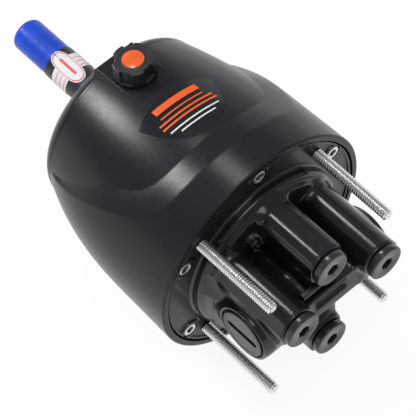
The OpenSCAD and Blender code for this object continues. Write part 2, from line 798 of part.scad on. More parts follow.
module shaft_cap() {
    color([0.17, 0.33, 0.82]) facing_front() rotate_extrude() polygon(concat(
        [[0, shaft_tip_s + 0.3], [end_cap_r - end_cap_round, shaft_tip_s + 0.3],
            [end_cap_r - end_cap_wall, shaft_tip_s - 2], [end_cap_r - end_cap_wall, end_cap_s],
            [end_cap_r, end_cap_s]],
        arc(end_cap_r - end_cap_round, end_cap_tip_s - end_cap_round, end_cap_round, 0, 90, 6),
        [[0, end_cap_tip_s]]));
}

// Oval with straight sides along the shaft, thick enough to reach through the sleeve's wall
module tag_oval() {
    straight = tag_oval_l - tag_oval_w;
    rotate(-tag_turn) rotate([-90, 0, 0]) {
        for (end = [-1, 1]) translate([0, end * straight / 2, 0]) cylinder(d = tag_oval_w, h = 2 * sleeve_r);
        translate([-tag_oval_w / 2, -straight / 2, 0]) cube([tag_oval_w, straight, 2 * sleeve_r]);
    }
}

module shaft_tag() {
    color([0.95, 0.95, 0.95]) facing_front() translate([0, 0, tag_s + tag_l / 2]) difference() {
        union() {
            cylinder(r = sleeve_r + tag_t / 2, h = tag_l, center = true);
            intersection() {
                cylinder(r = sleeve_r + tag_t, h = tag_oval_l + 2, center = true);
                tag_oval();
            }
        }
        cylinder(r = sleeve_r + 0.02, h = tag_oval_l + 2 * cut, center = true);
    }
}

// Plain ring along the shaft axis
module ring(outer_r, inner_r, s, h) {
    facing_front() translate([0, 0, s]) difference() {
        cylinder(r = outer_r, h = h);
        translate([0, 0, -cut]) cylinder(r = inner_r, h = h + 2 * cut);
    }
}

module nose_bush() { color(brass_color) ring(bush_r, shaft_r + run_gap, bush_s, nose_s - seal_t - bush_s); }

// Lip seal with a folded section
module shaft_seal() {
    lip_r = shaft_r + run_gap;
    color(rubber_color) facing_front() translate([0, 0, nose_s - seal_t]) rotate_extrude() polygon([
        [lip_r + 1.6, 0], [seal_r, 0], [seal_r, seal_t], [lip_r + 0.6, seal_t], [lip_r, seal_t - 0.8],
        [lip_r, seal_t - 1.6], [lip_r + 1.6, seal_t - 2.4]]);
}

// Ball bearing, cut by the groove in which its balls run
module bearing_groove() {
    facing_front() translate([0, 0, bearing_s + bearing_w / 2])
        o_ring(bearing_pitch_r, bearing_ball_r + 0.1);
}

module bearing_outer_ring() {
    color(steel_color) difference() {
        ring(bearing_r, bearing_pitch_r + 1.9, bearing_s, bearing_w);
        bearing_groove();
    }
}

module bearing_inner_ring() {
    color(steel_color) difference() {
        ring(bearing_pitch_r - 1.9, shaft_r + 0.02, bearing_s, bearing_w);
        bearing_groove();
    }
}

module bearing_balls() {
    color(steel_color) facing_front() for (i = [0:bearing_balls_n - 1]) rotate(i * 360 / bearing_balls_n)
        translate([bearing_pitch_r, 0, bearing_s + bearing_w / 2]) sphere(r = bearing_ball_r);
}

module bearing_cage() {
    color(brass_color) difference() {
        ring(bearing_pitch_r + 0.9, bearing_pitch_r - 0.9, bearing_s + 1.5, bearing_w - 3);
        facing_front() for (i = [0:bearing_balls_n - 1]) rotate(i * 360 / bearing_balls_n)
            translate([bearing_pitch_r, 0, bearing_s + bearing_w / 2]) rotate([0, 90, 0])
                cylinder(r = bearing_ball_r + 0.1, h = bearing_ball_r, center = true);
    }
}

// Cup that holds the rotor and the swash plate, with a bearing boss on its end
module pump_case() {
    color([0.6, 0.61, 0.63]) facing_front() difference() {
        rotate_extrude() polygon([[case_bore_r, plate_t], [case_flange_r, plate_t],
            [case_flange_r, plate_t + case_flange_t], [case_r, plate_t + case_flange_t],
            [case_r, case_wall_s + case_end_t], [case_boss_r, case_wall_s + case_end_t],
            [case_boss_r, case_boss_s], [bearing_r + 0.02, case_boss_s], [bearing_r + 0.02, bearing_s],
            [collar_r + 2, bearing_s], [collar_r + 2, case_wall_s], [case_bore_r, case_wall_s]]);
        for (a = [0:90:270]) rotate(a) translate([case_bore_r - cut, 0, case_hole_s])
            rotate([0, 90, 0]) cylinder(r = case_hole_r, h = case_wall_t + 2 * cut);
        for (a = [45:90:315]) rotate(a) translate([case_screw_r, 0, 0])
            cylinder(d = case_screw_d + 0.4, h = case_boss_s);
    }
}

module case_screws() {
    head_s = plate_t + case_flange_t + case_head_h;
    color(steel_color) facing_front() for (a = [45:90:315]) rotate(a) translate([case_screw_r, 0, head_s])
        cap_screw(case_screw_d, case_head_d, case_head_h, case_socket, head_s + case_screw_end);
}

// Local frame of the slanting running face, with local +Z towards the front
module on_swash() {
    facing_front() translate([0, 0, swash_s]) rotate([swash_tilt, 0, 0]) children();
}

module swash_plate() {
    color([0.55, 0.56, 0.58]) difference() {
        facing_front() cylinder(r = case_bore_r - seat_gap, h = case_wall_s);
        on_swash() translate([0, 0, race_t - 4 * case_r]) cylinder(r = 3 * case_r, h = 4 * case_r);
        facing_front() cylinder(r = collar_r + 2, h = case_wall_s + cut);
    }
}

module thrust_race() {
    color(steel_color) on_swash() difference() {
        cylinder(r = race_r, h = race_t);
        translate([0, 0, -cut]) cylinder(r = swash_hole_r, h = race_t + 2 * cut);
    }
}

function piston_angle(i) = 90 + i * 360 / pistons;

module pump_rotor() {
    color([0.5, 0.51, 0.53]) facing_front() difference() {
        translate([0, 0, rotor_s]) cylinder(r = rotor_r, h = rotor_end_s - rotor_s);
        cylinder(r = shaft_r + 0.02, h = case_wall_s);
        for (i = [0:pistons - 1]) rotate(piston_angle(i)) translate([piston_circle_r, 0, 0]) {
            translate([0, 0, bore_s]) cylinder(r = piston_r + run_gap, h = case_wall_s);
            cylinder(r = kidney_w / 2 - 1, h = case_wall_s);
        }
        translate([0, 0, pin_s]) rotate([0, 90, 0]) cylinder(r = pin_r, h = pin_l + 1, center = true);
    }
}

// Hollow piston with a rounded nose, drawn fully pushed in
module piston(i) {
    low = piston_tip_s - piston_l;
    color(steel_color) facing_front() rotate(piston_angle(i)) translate([piston_circle_r, 0, low])
        difference() {
            intersection() {
                cylinder(r = piston_r, h = piston_l);
                translate([0, 0, piston_l - piston_nose_r]) union() {
                    sphere(r = piston_nose_r);
                    translate([0, 0, -piston_l]) cylinder(r = piston_nose_r, h = piston_l);
                }
            }
            translate([0, 0, -cut]) cylinder(r = piston_hollow_r, h = piston_hollow_l + cut);
        }
}
module piston_1() { piston(0); }
module piston_2() { piston(1); }
module piston_3() { piston(2); }
module piston_4() { piston(3); }
module piston_5() { piston(4); }

module piston_springs() {
    spring_l = piston_tip_s - piston_l + piston_hollow_l - bore_s - 0.2;
    color(steel_color) facing_front() for (i = [0:pistons - 1])
        rotate(piston_angle(i)) translate([piston_circle_r, 0, bore_s + 0.1])
            coil(piston_coil_r, piston_wire_r, spring_l, piston_turns);
}

// Disc with two curved ports, through which the rotor draws and pushes oil
module valve_plate() {
    color(brass_color) facing_front() difference() {
        translate([0, 0, plate_t]) cylinder(r = valve_plate_r, h = valve_plate_t);
        cylinder(r = pilot_r + 0.5, h = case_wall_s);
        for (side = [0, 180]) rotate(side + 90 - kidney_angle / 2) rotate_extrude(angle = kidney_angle)
            translate([piston_circle_r - kidney_w / 2, plate_t - cut])
                square([kidney_w, valve_plate_t + 2 * cut]);
    }
}

front_housing();
valve_body();
housing_seal();
cover_screws();
mounting_studs();
fill_cap();
cap_badge();
cap_gasket();
steering_shaft();
shaft_key();
drive_pin();
retaining_ring();
taper_sleeve();
shaft_cap();
shaft_tag();
nose_bush();
shaft_seal();
bearing_outer_ring();
bearing_inner_ring();
bearing_balls();
bearing_cage();
pump_case();
case_screws();
swash_plate();
thrust_race();
pump_rotor();
piston_1();
piston_2();
piston_3();
piston_4();
piston_5();
piston_springs();
valve_plate();
top_plug();
bottom_plug();
left_plug();
right_plug();
plug_seals();
top_check_ball();
bottom_check_ball();
left_check_ball();
right_check_ball();
top_check_spring();
bottom_check_spring();
left_check_spring();
right_check_spring();
left_port_plug();
right_port_plug();
port_seals();
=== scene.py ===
"""Looks of a hydraulic helm pump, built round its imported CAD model.

Sizes are in millimetres in the row frame (+Y to the rear along the studs, +Z up through the fill cap)
and become metres when a mesh is made. A distance s is measured forwards from the mounting face (s = -y).
"""

import math

import bmesh
import bpy
import numpy as np
from mathutils import Matrix, Vector


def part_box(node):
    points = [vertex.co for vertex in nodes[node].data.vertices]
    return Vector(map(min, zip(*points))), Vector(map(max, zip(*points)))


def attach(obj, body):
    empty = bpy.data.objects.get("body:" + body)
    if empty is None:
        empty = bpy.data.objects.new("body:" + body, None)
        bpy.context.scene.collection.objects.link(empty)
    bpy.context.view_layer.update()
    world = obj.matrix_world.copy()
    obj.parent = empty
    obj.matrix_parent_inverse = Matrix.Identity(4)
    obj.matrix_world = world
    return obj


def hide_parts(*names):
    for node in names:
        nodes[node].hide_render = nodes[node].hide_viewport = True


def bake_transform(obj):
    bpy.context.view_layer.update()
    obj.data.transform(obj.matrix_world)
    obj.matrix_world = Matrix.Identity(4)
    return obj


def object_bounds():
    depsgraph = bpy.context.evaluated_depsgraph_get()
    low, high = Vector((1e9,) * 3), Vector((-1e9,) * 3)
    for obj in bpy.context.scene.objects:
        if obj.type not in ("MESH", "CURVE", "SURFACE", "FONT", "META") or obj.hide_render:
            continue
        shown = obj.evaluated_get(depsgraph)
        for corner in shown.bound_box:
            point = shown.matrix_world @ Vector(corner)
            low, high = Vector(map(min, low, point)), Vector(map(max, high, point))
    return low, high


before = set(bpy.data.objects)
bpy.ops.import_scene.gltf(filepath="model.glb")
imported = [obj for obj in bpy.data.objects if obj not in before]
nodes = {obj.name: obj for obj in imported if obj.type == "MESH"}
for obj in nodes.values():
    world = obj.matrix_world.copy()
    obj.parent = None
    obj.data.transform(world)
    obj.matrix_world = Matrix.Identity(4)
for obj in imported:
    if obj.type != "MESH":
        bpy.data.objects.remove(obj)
cad_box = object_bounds()

MM = 0.001

# Camera: direction of the photo's view, in degrees, with its distance and focal length
IMAGE_PX = 416
VIEW_AZIMUTH = 140.254
VIEW_ELEVATION = 56.538
VIEW_ROLL = -3.339
VIEW_DISTANCE = 1669
FOCAL_PX = 2675
ORIGIN_PX = (262.05, 242.47)
SENSOR_MM = 36

# Housing
RIM_R = 83
RIM_ROUND = 1.2
SHOULDER_S = 129
DOME_H = 22
SKIRT_TAPER = 0.036
SKIRT_BEND_S = 45
SKIRT_DROP = 14.9
SKIRT_POWER = 2.45
HOOD_S = 40
HOOD_STEP = 3.3
HOOD_SLOPE = 0.059
HOOD_BEND = 0.0012
BAND_S = 23
BAND_ANGLE = 48.5
BAND_SIDE_SLOPE = 0.335
BAND_MM_PER_DEG = 1.4
BAND_CORNER = 9
BAND_W = 16
BAND_END_S = 118
BAND_FADE = 45
BAND_LEAST = 0.08
SEAT_R = 78.7
SEAT_S = 9
LEDGE_R = 55
LEDGE_S = 13
WALL_T = 4.5
NOSE_R = 17.5
NOSE_S = 159
NOSE_ROUND = 1
SEAL_R = 14.5
SEAL_S = 154
BORE_R = 10.5
BORE_END_S = 134
HOUSING_AROUND = 440
HOUSING_STEP = 0.9
DOME_RINGS = 36
HOUSING_SHARP_DEG = 28

# Fill opening: its pad on the hood, the cap and the cap's badge
FILL_S = 113.5
FILL_Z = 67.49
FILL_TILT = math.radians(5)
PAD_W = 30
PAD_DRAFT = 4
PAD_DEPTH = 8
PAD_BACK = 24
PAD_FRONT = 21
PAD_ROUND = 0.9
NECK_R = 8.2
NECK_DEPTH = 16
CAP_R = 13.6
CAP_H = 12
CAP_ROUND = 0.9
CAP_FOOT_ROUND = 0.6
CAP_FOOT_INSET = 0.8
CAP_FOOT_H = 1.6
CAP_LOBE_H = 2.2
CAP_SEAT_GAP = 1
CAP_NOTCH = 1.8
CAP_LOBES = 5
CAP_NOTCH_SHARE = 0.45
CAP_NOTCH_STEEPNESS = 5
CAP_REST_ANGLE = math.radians(-10)
# Radius and height over the cap's top of each corner of the groove in it
CAP_GROOVE = ((9.4, 0), (9.1, -0.25), (8.2, -0.25), (7.6, 0))
CAP_CORE_R = 2
STEM_L = 11
STEM_GAP = 0.3
STEM_TOP = 1
GASKET_T = 1.2
BADGE_R = 7.1
BADGE_T = 1.4
BADGE_SINK = 0.8
BADGE_GAP = 0.05
CAP_SHARP_DEG = 30

# Flange
PLATE_R = 77.5
PLATE_T = 9
PLATE_DROP = 1.5
LIP_W = 1.8
LIP_DROP = 0.5
LIP_ROUND = 0.4
DISC_R = 58.5
DISC_Y = 6
DISC_ROUND = 3
DISC_FOOT = 2
PLATE_SHARP_DEG = 50

# Cover screws and the pads round them
SCREW_CIRCLE_R = 71.3
SCREW_ANGLES = [math.radians(a) for a in range(30, 390, 60)]
SCREW_PAD_R = 8
SCREW_PAD_H = 1.1
SCREW_PAD_FOOT = 1
SCREW_PAD_ROUND = 0.5
SCREW_PAD_SUNK = 4
SCREW_GAP = 0.35
SCREW_HOLE_R = 5.85
SCREW_HOLE_DEPTH = 6
SCREW_HEAD_R = 5
SCREW_HEAD_H = 5
SCREW_HEAD_ROUND = 1
SCREW_TOP_Y = -0.6
# Width and depth of the hex socket, depth and radius of its bevel
SCREW_SOCKET = (5, 2.6, 0.25, 3.1)
SCREW_SHANK_R = 2.5
SCREW_L = 22

# Valve casting: its hub, barrels, port bosses and what stands between them
CASTING_STEP = 0.84
CASTING_LOW = (-64, -8, -62)
CASTING_HIGH = (64, 74, 62)
RELAX_ROUNDS = 2
DISC_INSET = 0.15
DISC_ROOT_Y = -6
HUB_R = 53.5
HUB_Y = 9
HUB_ROUND = 2.2
HUB_FILLET = 2
ROOT_Y = -4
BARREL_R = 13
BARREL_CORE = 4
BARREL_ROUND = 1
BARREL_FILLET = 5.5
RIB_HALF_X = 12
RIB_SHORT = 3
RIB_ROUND = 2
RIB_FILLET = 3
BLOCK_ROUND = 1.5
BLOCK_FILLET = 4
REAR_PLATE_Y = 62
CUT_PAST = 4
# Blocks: half the width across, then the ends along Y and along Z
REAR_PLATE = (34.9, ROOT_Y, REAR_PLATE_Y, -2, 19)
CORE = (28, ROOT_Y, 46, -20, 0)
POCKET = (12.75, 60.4, REAR_PLATE_Y + CUT_PAST, 6.5, 15.5)
WALL_INNER_X = 27
WALL_X = 46.8
WALL_DRAFT = 0.2
WALL_DRAFT_Y = 45
WALL_DRAFT_L = 31
WALL_TOP_Z = 22.4
WALL_SWELL_H = 14
WALL_FILLET = 6
# Distance and height of the ends of the walls' slanting rear edge
WALL_SLANT_LOW = (50.3, -16.4)
WALL_SLANT_HIGH = (67.8, 12)
PORT_X = 54
PORT_Y = 40
PORT_R = 20.5
PORT_ROUND = 1.2
PORT_FILLET = 5
PORT_RECESS_R = 18.2
PORT_RECESS_DEPTH = 2.4
NUB_X = 17.5
NUB_Z = 33
NUB_Y = 16
NUB_R = 4.6
NUB_ROUND = 0.8
NUB_FILLET = 2.5
NUB_HOLE_R = 2
NUB_HOLE_DEPTH = 3
POCKET_MID_Z = 11
POCKET_ROUND = 0.4
CUT_EDGE = 0.6
CUT_ROUND = 0.3
RIDGE_HALF_X = 12.95
RIDGE_HALF_Z = 4.7
RIDGE_CORNER = 0.8
RIDGE_R = 0.3
STUB_R = 2.5
STUB_X = 20.5
STUB_Y = 57
STUB_Z = 24
STUB_L = 9
STUB_ROOT_L = 13.5
STUB_ROOT_ROUND = 0.4
STUB_ROUND = 0.6
STUB_CENTRE_R = 0.9
STUB_CENTRE_DEPTH = 0.4

# Valve plugs, with the place across, the height and the distance of each plug's face
PLUGS = {"top_plug": (0, 40.6, 63.4), "bottom_plug": (0, -40.6, 63.4),
         "left_plug": (-34.9, 22.4, 74.8), "right_plug": (34.9, 22.4, 74.8)}
PLUG_R = 12.5
PLUG_HEAD_T = 4.5
PLUG_GROOVE = 1
PLUG_NECK_R = 9
PLUG_SUNK = 0.8
PLUG_SOCKET = (8, 6, 0.3, 4.88)
PLUG_ROUND = 1.2
PLUG_UNDER_ROUND = 0.3

# Check springs
CHECK_COIL_R = 3.4
CHECK_WIRE_R = 0.45
CHECK_TURNS = 5

# Port plugs
PORT_PLUG_R = 17
PORT_PLUG_T = 3
PORT_PLUG_ROUND = 0.7
# Radius and height of the inside of the raised rim, at its top and at its foot
PORT_PLUG_RIM = ((15, 0.6), (14.7, 0.35))
SLOT_L = 26
SLOT_W = 4.6
SLOT_FLOOR = -1.4
SLOT_TOP = 2

# Studs, with the inset and the drop of each ring of their dished tips
STUD_PITCH = 96
STUD_R = 4
STUD_OUT = 62
STUD_THREAD = 1.84
STUD_DEPTH = 1.1
STUD_CREST = 1.3
STUD_FLANK = 3.2
STUD_CHAMFER = 1
STUD_TIP = ((1.15, 0), (1.6, 0.1), (2.2, 0.9))
STUD_SHARP_DEG = 80

# Shaft end, with the tag round its sleeve; an angle is taken from the top towards +X
SLEEVE_R = 12.15
END_CAP_R = 11.8
END_CAP_TIP_S = 229
END_CAP_WALL = 1.1
END_CAP_LIP = 0.3
END_CAP_LIP_INSET = 0.25
END_CAP_TIP_ROUND = 4.4
END_CAP_TIP_INSET = 4.5
END_CAP_TIP_R = 2
RIPPLE = 0.06
RIPPLES = 10
RIPPLE_STEP = 2.2
RIPPLE_START = 1.5
RIPPLE_TURN = 1.7
TAG_BAND_S = (173.5, 187)
TAG_MID_S = 180
TAG_MID_DEG = 15.5
TAG_OVAL = (14.7, 6.9)
TAG_OVAL_HOLE = 0.01
TAG_OUTLINE = (13.9, 6.2)
TAG_OUTLINE_HOLE = 0.93
TAG_OVAL_POWER = 0.85
TAG_LINES_S = (175.3, 179.1, 182.9)
TAG_LINE_W = 0.5
TAG_BAR_HALF_L = 8
TAG_BAR_HALF_DEG = 4.5
# Height over the sleeve and thickness of the tag's band, its oval, the lines and the print
TAG_BAND_LAYER = (0.22, 0.2)
TAG_OVAL_LAYER = (0.36, 0.14)
TAG_LINE_LAYER = (0.25, 0.05)
TAG_PRINT_LAYER = (0.4, 0.06)

# Label on the hood
LABEL_MID_DEG = -0.75188
LABEL_HALF_DEG = 23.68421
LABEL_TIP_S = 78
LABEL_LOW_S = 45
LABEL_HIGH_S = 86.2
LABEL_POWER = 2.6
LABEL_END = 0.995
LABEL_LIFT = 0.12
LABEL_T = 0.15
STRIPE_SLOPE = 0.07
STRIPE_LIFT = 0.03
STRIPE_T = 0.05
# Distance, half width and the two end angles of each bar on the label
ORANGE_STRIPES = ((77.8, 2.5, 11.9, -14), (71.3, 0.5, 11.9, -13.2), (67.3, 0.7, 15.1, -16.1),
                  (63.7, 0.7, 15.3, -16.7))
WHITE_STRIPES = ((58.9, 0.55, 13.7, -14.7), (55.3, 0.55, 9.5, -10.4))

# Meshes: edges over an angle in degrees look sharp, points closer than a distance in metres become one
SHARP_DEG = 35
THIN_SHARP_DEG = 40
MERGE_M = 1e-7
# Radius of the hole that a turned mesh leaves on its axis, which a flat face closes
AXIS_R = 0.5
# A ring this close to the start of a round keeps the flat beside it flat in shading
FLAT_EDGE = 0.01

# Looks: the values of a noise or of a hollow's painted shade that span a range, and how far a face looks to
# the rear
ROUGHNESS_SPAN = (0.3, 0.7)
COLOUR_SPAN = (0.35, 0.65)
FLAT_SPAN = (0.85, 0.97)
PATCH_GRAIN = 0.3
# Name, dark and light colour (linear), range of roughness, grain in cycles a metre and its bump in metres
SURFACES = {
    "housing": ("satin_black_housing", (0.012, 0.012, 0.015), (0.015, 0.015, 0.019), (0.25, 0.3), 1800, 1e-5),
    "plug": ("satin_black_plug", (0.026, 0.026, 0.029), (0.034, 0.034, 0.037), (0.17, 0.24), 1500, 4e-6),
    "cap": ("matt_black_cap", (0.012, 0.012, 0.013), (0.017, 0.017, 0.018), (0.38, 0.46), 2500, 2e-5),
    "badge": ("orange_dome", (0.9, 0.1, 0.006), (1, 0.14, 0.01), (0.18, 0.22), 300, 2e-6),
    "label": ("gloss_black_label", (0.006, 0.006, 0.007), (0.008, 0.008, 0.009), (0.1, 0.14), 600, 1e-6),
    "orange": ("orange_print", (0.85, 0.11, 0.01), (0.95, 0.13, 0.015), (0.3, 0.36), 900, 2e-6),
    "white": ("white_print", (0.75, 0.75, 0.75), (0.85, 0.85, 0.85), (0.3, 0.36), 900, 2e-6),
    "sleeve": ("black_sleeve", (0.016, 0.016, 0.017), (0.024, 0.024, 0.026), (0.3, 0.4), 700, 3e-5),
    "blue": ("blue_vinyl", (0.01, 0.062, 0.52), (0.015, 0.08, 0.63), (0.24, 0.32), 250, 3e-5),
    "paper": ("tag_paper", (0.8, 0.8, 0.81), (0.88, 0.88, 0.88), (0.55, 0.65), 2000, 1e-5),
    "red": ("red_print", (0.75, 0.08, 0.07), (0.85, 0.12, 0.1), (0.5, 0.6), 2000, 1e-5),
    "rubber": ("black_rubber", (0.008, 0.008, 0.008), (0.014, 0.014, 0.014), (0.55, 0.65), 1200, 2e-5),
    "bronze": ("bronze", (0.42, 0.27, 0.1), (0.55, 0.36, 0.14), (0.25, 0.38), 900, 1e-5),
    "aluminium": ("cast_aluminium", (0.42, 0.43, 0.44), (0.56, 0.57, 0.58), (0.4, 0.5), 700, 4e-5),
    "steel": ("machined_steel", (0.5, 0.5, 0.51), (0.62, 0.62, 0.63), (0.2, 0.3), 1100, 8e-6),
}
SURFACE_EXTRAS = {
    "housing": {"specular": 0.25}, "badge": {"patch": 90, "coat": 1},
    "blue": {"patch": 60, "specular": 0.3},
    "bronze": {"metallic": 1}, "aluminium": {"metallic": 1}, "steel": {"metallic": 1},
}
# Name, width in metres of the hollows that get painted shade, colour of the painted shade and of open faces,
# range of roughness
PAINTED_SHADE_METALS = {
    "stainless": ("stainless_thread", 0.0014, (0.04, 0.04, 0.04), (0.82, 0.82, 0.81), (0.22, 0.34)),
    "zinc": ("zinc_plated_screw", 0.004, (0.06, 0.06, 0.06), (0.8, 0.8, 0.79), (0.34, 0.46)),
}

# Stage, in metres
FLOOR_HALF = 6
FLOOR_GAP = 0.0005
FLOOR_COLOUR = (0.92, 0.92, 0.92, 1)
FLOOR_WHITE_SHARE = 0.86
FLOOR_WHITE = 1.06
ROOM_COLOUR = (0.33, 0.335, 0.36, 1)
CLIP_END = 50


# Meshes

def placed(x=(1, 0, 0), y=(0, 1, 0), z=(0, 0, 1), origin=(0, 0, 0)):
    """Matrix that carries local axes to the given row directions."""
    matrix = Matrix((x, y, z)).transposed().to_4x4()
    matrix.translation = Vector(origin)
    return matrix


FRONT = placed(y=(0, 0, 1), z=(0, -1, 0))
REAR = placed(x=(-1, 0, 0), y=(0, 0, 1), z=(0, 1, 0))
PAD = Matrix.Translation((0, -FILL_S, FILL_Z)) @ Matrix.Rotation(FILL_TILT, 4, "X")


def rear_at(x, z, y):
    """Place on the rear side: local Z points to the rear, with its zero at distance y."""
    return Matrix.Translation((x, y, z)) @ REAR


def arc(x, y, r, start, end, steps=6):
    """Points of a circle's arc, with the angles in degrees."""
    angles = np.radians(np.linspace(start, end, steps + 1))
    return [(x + r * math.cos(a), y + r * math.sin(a)) for a in angles]


def hexagon(across):
    """Radius of a hexagon of that width, as a function of the angle."""
    return lambda a: across / 2 / np.cos((a + math.pi / 6) % (math.pi / 3) - math.pi / 6)


def full_turn(steps):
    """Even angles all the way round."""
    return np.arange(steps) * 2 * math.pi / steps


def ring_at(r, z, a):
    """Points at a radius and a height, one at each angle."""
    return np.stack(np.broadcast_arrays(r * np.cos(a), r * np.sin(a), z), 1)


def lathe(profile, turns=96):
    """A profile of (radius, height) turned about local Z; a radius may be a function of the angle."""
    a = full_turn(turns)
    rings = [ring_at(r(a) if callable(r) else r, z, a) for r, z in profile]
    return np.concatenate(rings), ring_faces(len(profile), turns)


def ring_faces(rings, turns, closed=False):
    """Quads between rings of points, with flat ends unless the rings close on themselves."""
    j = np.arange(turns)
    faces = []
    for k in range(rings if closed else rings - 1):
        low, high = k * turns, (k + 1) % rings * turns
        quads = np.stack([low + j, low + (j + 1) % turns, high + (j + 1) % turns, high + j], 1)
        faces += quads.tolist()
    if not closed:
        faces += [j[::-1].tolist(), (j + (rings - 1) * turns).tolist()]
    return faces


def curved_sheet(s, angle_deg, r, thickness):
    """A thin closed sheet round the Y axis, from grids of distances and of angles from the top towards +X."""
    a = np.radians(angle_deg)
    layers = [np.stack([k * np.sin(a), -s, k * np.cos(a)], -1).reshape(-1, 3) for k in (r, r - thickness)]
    index = np.arange(s.size).reshape(s.shape)
    quads = np.stack([index[:-1, :-1], index[1:, :-1], index[1:, 1:], index[:-1, 1:]], -1).reshape(-1, 4)
    rim = np.concatenate([index[0, :], index[1:, -1], index[-1, -2::-1], index[-2:0, 0]])
    edge = [[i, j, j + s.size, i + s.size] for i, j in zip(rim, np.roll(rim, -1))]
    return np.concatenate(layers), quads.tolist() + (quads[:, ::-1] + s.size).tolist() + edge


def joined(*parts):
    """Several (points, faces) as one."""
    points, faces, count = [], [], 0
    for p, f in parts:
        points.append(np.asarray(p, float))
        faces += [[i + count for i in face] for face in f]
        count += len(p)
    return np.concatenate(points), faces


def moved(part, matrix):
    """(points, faces) carried by a matrix."""
    points, faces = part
    m = np.array(matrix)
    return np.asarray(points, float) @ m[:3, :3].T + m[:3, 3], faces


def new_object(name, data):
    """An object that is linked into the scene."""
    obj = bpy.data.objects.new(name, data)
    bpy.context.scene.collection.objects.link(obj)
    return obj


def mesh_object(name, part, sharp_deg=SHARP_DEG):
    """A new object from (points, faces) in millimetres, with outward faces and sharp edges over an angle."""
    points, faces = part
    mesh = bpy.data.meshes.new(name)
    mesh.from_pydata((np.asarray(points) * MM).tolist(), [], faces)
    obj = new_object(name, mesh)
    bm = bmesh.new()
    bm.from_mesh(mesh)
    bmesh.ops.remove_doubles(bm, verts=bm.verts, dist=MERGE_M)
    bmesh.ops.recalc_face_normals(bm, faces=bm.faces)
    bm.to_mesh(mesh)
    bm.free()
    shade(obj, sharp_deg)
    return obj


def shade(obj, sharp_deg):
    """Smooth shading, with edges over an angle kept sharp."""
    obj.data.shade_smooth()
    obj.data.set_sharp_from_angle(angle=math.radians(sharp_deg))


def boolean(obj, tool, operation, sharp_deg=SHARP_DEG):
    """Joins a tool object to obj or cuts it out of it, and deletes the tool."""
    modifier = obj.modifiers.new("boolean", "BOOLEAN")
    modifier.operation, modifier.solver, modifier.object = operation, "EXACT", tool
    made = bpy.data.meshes.new_from_object(obj.evaluated_get(bpy.context.evaluated_depsgraph_get()))
    obj.modifiers.clear()
    obj.data = made
    bpy.data.objects.remove(tool)
    shade(obj, sharp_deg)


def paint(obj, look):
    """Gives an object one look alone."""
    obj.data.materials.clear()
    obj.data.materials.append(LOOKS[look])


def piece(obj, body, slot, look, *replaced):
    """Finishes a new piece: its look, the body that it rides on and the CAD nodes that it stands for."""
    paint(obj, look)
    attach(obj, body)
    if replaced:
        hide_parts(*replaced)


# Materials

def add_node(mat, kind, values=None, links=None):
    """A new shader node, with values on some of its inputs and links into others."""
    node = mat.node_tree.nodes.new("ShaderNode" + kind)
    for socket, value in (values or {}).items():
        node.inputs[socket].default_value = value
    for socket, source in (links or {}).items():
        mat.node_tree.links.new(source, node.inputs[socket])
    return node


def drive(mat, socket, source):
    """Links a source to one of the Principled shader's own sockets."""
    mat.node_tree.links.new(source, mat.node_tree.nodes["Principled BSDF"].inputs[socket])


def new_material(name, colour, roughness, metallic=0.0, specular=0.5, coat=0.0, coat_roughness=0.05):
    """A Principled material whose even values sit on the shader's own sockets."""
    mat = bpy.data.materials.new(name)
    mat.use_nodes = True
    values = {"Base Color": (*colour, 1.0), "Roughness": roughness, "Metallic": metallic,
              "Specular IOR Level": specular, "Coat Weight": coat, "Coat Roughness": coat_roughness}
    for socket, value in values.items():
        mat.node_tree.nodes["Principled BSDF"].inputs[socket].default_value = value
    return mat


def noise(mat, scale, detail=4.0):
    """Noise over the object's own coordinates, in cycles a metre."""
    place = add_node(mat, "TexCoord").outputs["Object"]
    return add_node(mat, "TexNoise", {"Scale": scale, "Detail": detail}, {"Vector": place}).outputs["Fac"]


def spread(mat, source, span, low, high):
    """Goes from low to high while the source passes the span."""
    values = {"From Min": span[0], "From Max": span[1], "To Min": low, "To Max": high}
    return add_node(mat, "MapRange", values, {"Value": source}).outputs["Result"]


def vary_roughness(mat, source, low, high):
    """Roughness that goes from low to high with the source."""
    drive(mat, "Roughness", spread(mat, source, ROUGHNESS_SPAN, low, high))


def vary_colour(mat, source, dark, light):
    """Base colour that goes from dark to light with the source."""
    ramp = add_node(mat, "ValToRGB", None, {"Fac": source})
    for element, position, colour in zip(ramp.color_ramp.elements, COLOUR_SPAN, (dark, light)):
        element.position, element.color = position, (*colour, 1)
    drive(mat, "Base Color", ramp.outputs["Color"])


def bump(mat, *layers):
    """Chained bumps, each a (source, height in metres) pair."""
    under = {}
    for source, height in layers:
        node = add_node(mat, "Bump", {"Strength": 1.0, "Distance": height}, {"Height": source, **under})
        under = {"Normal": node.outputs["Normal"]}
    drive(mat, "Normal", under["Normal"])


def surface(name, dark, light, rough, grain, bump_height, patch=25.0, **even):
    """A material with patchy colour and roughness and a fine grain."""
    mat = new_material(name, light, rough[0], **even)
    vary_colour(mat, noise(mat, patch), dark, light)
    vary_roughness(mat, noise(mat, grain * PATCH_GRAIN), *rough)
    bump(mat, (noise(mat, grain), bump_height))
    return mat


def make_materials():
    """Every look, by its short name."""
    looks = {look: surface(*row, **SURFACE_EXTRAS.get(look, {})) for look, row in SURFACES.items()}
    looks.update({look: metal_with_painted_shade(*row) for look, row in PAINTED_SHADE_METALS.items()})
    return {**looks, "casting": cast_gloss(), "port": port_plastic()}


def cast_gloss():
    """Gloss black paint over a casting: the coat keeps the casting's fine unevenness."""
    mat = new_material("gloss_black_casting", (0.008, 0.008, 0.010), 0.16, specular=0.4, coat=0.25,
                       coat_roughness=0.08)
    vary_colour(mat, noise(mat, 30), (0.007, 0.007, 0.009), (0.011, 0.011, 0.014))
    vary_roughness(mat, noise(mat, 220), 0.14, 0.24)
    bump(mat, (noise(mat, 160, 3), 4e-5), (noise(mat, 900, 3), 3.5e-5))
    rougher_flats(mat, 0.28)
    return mat


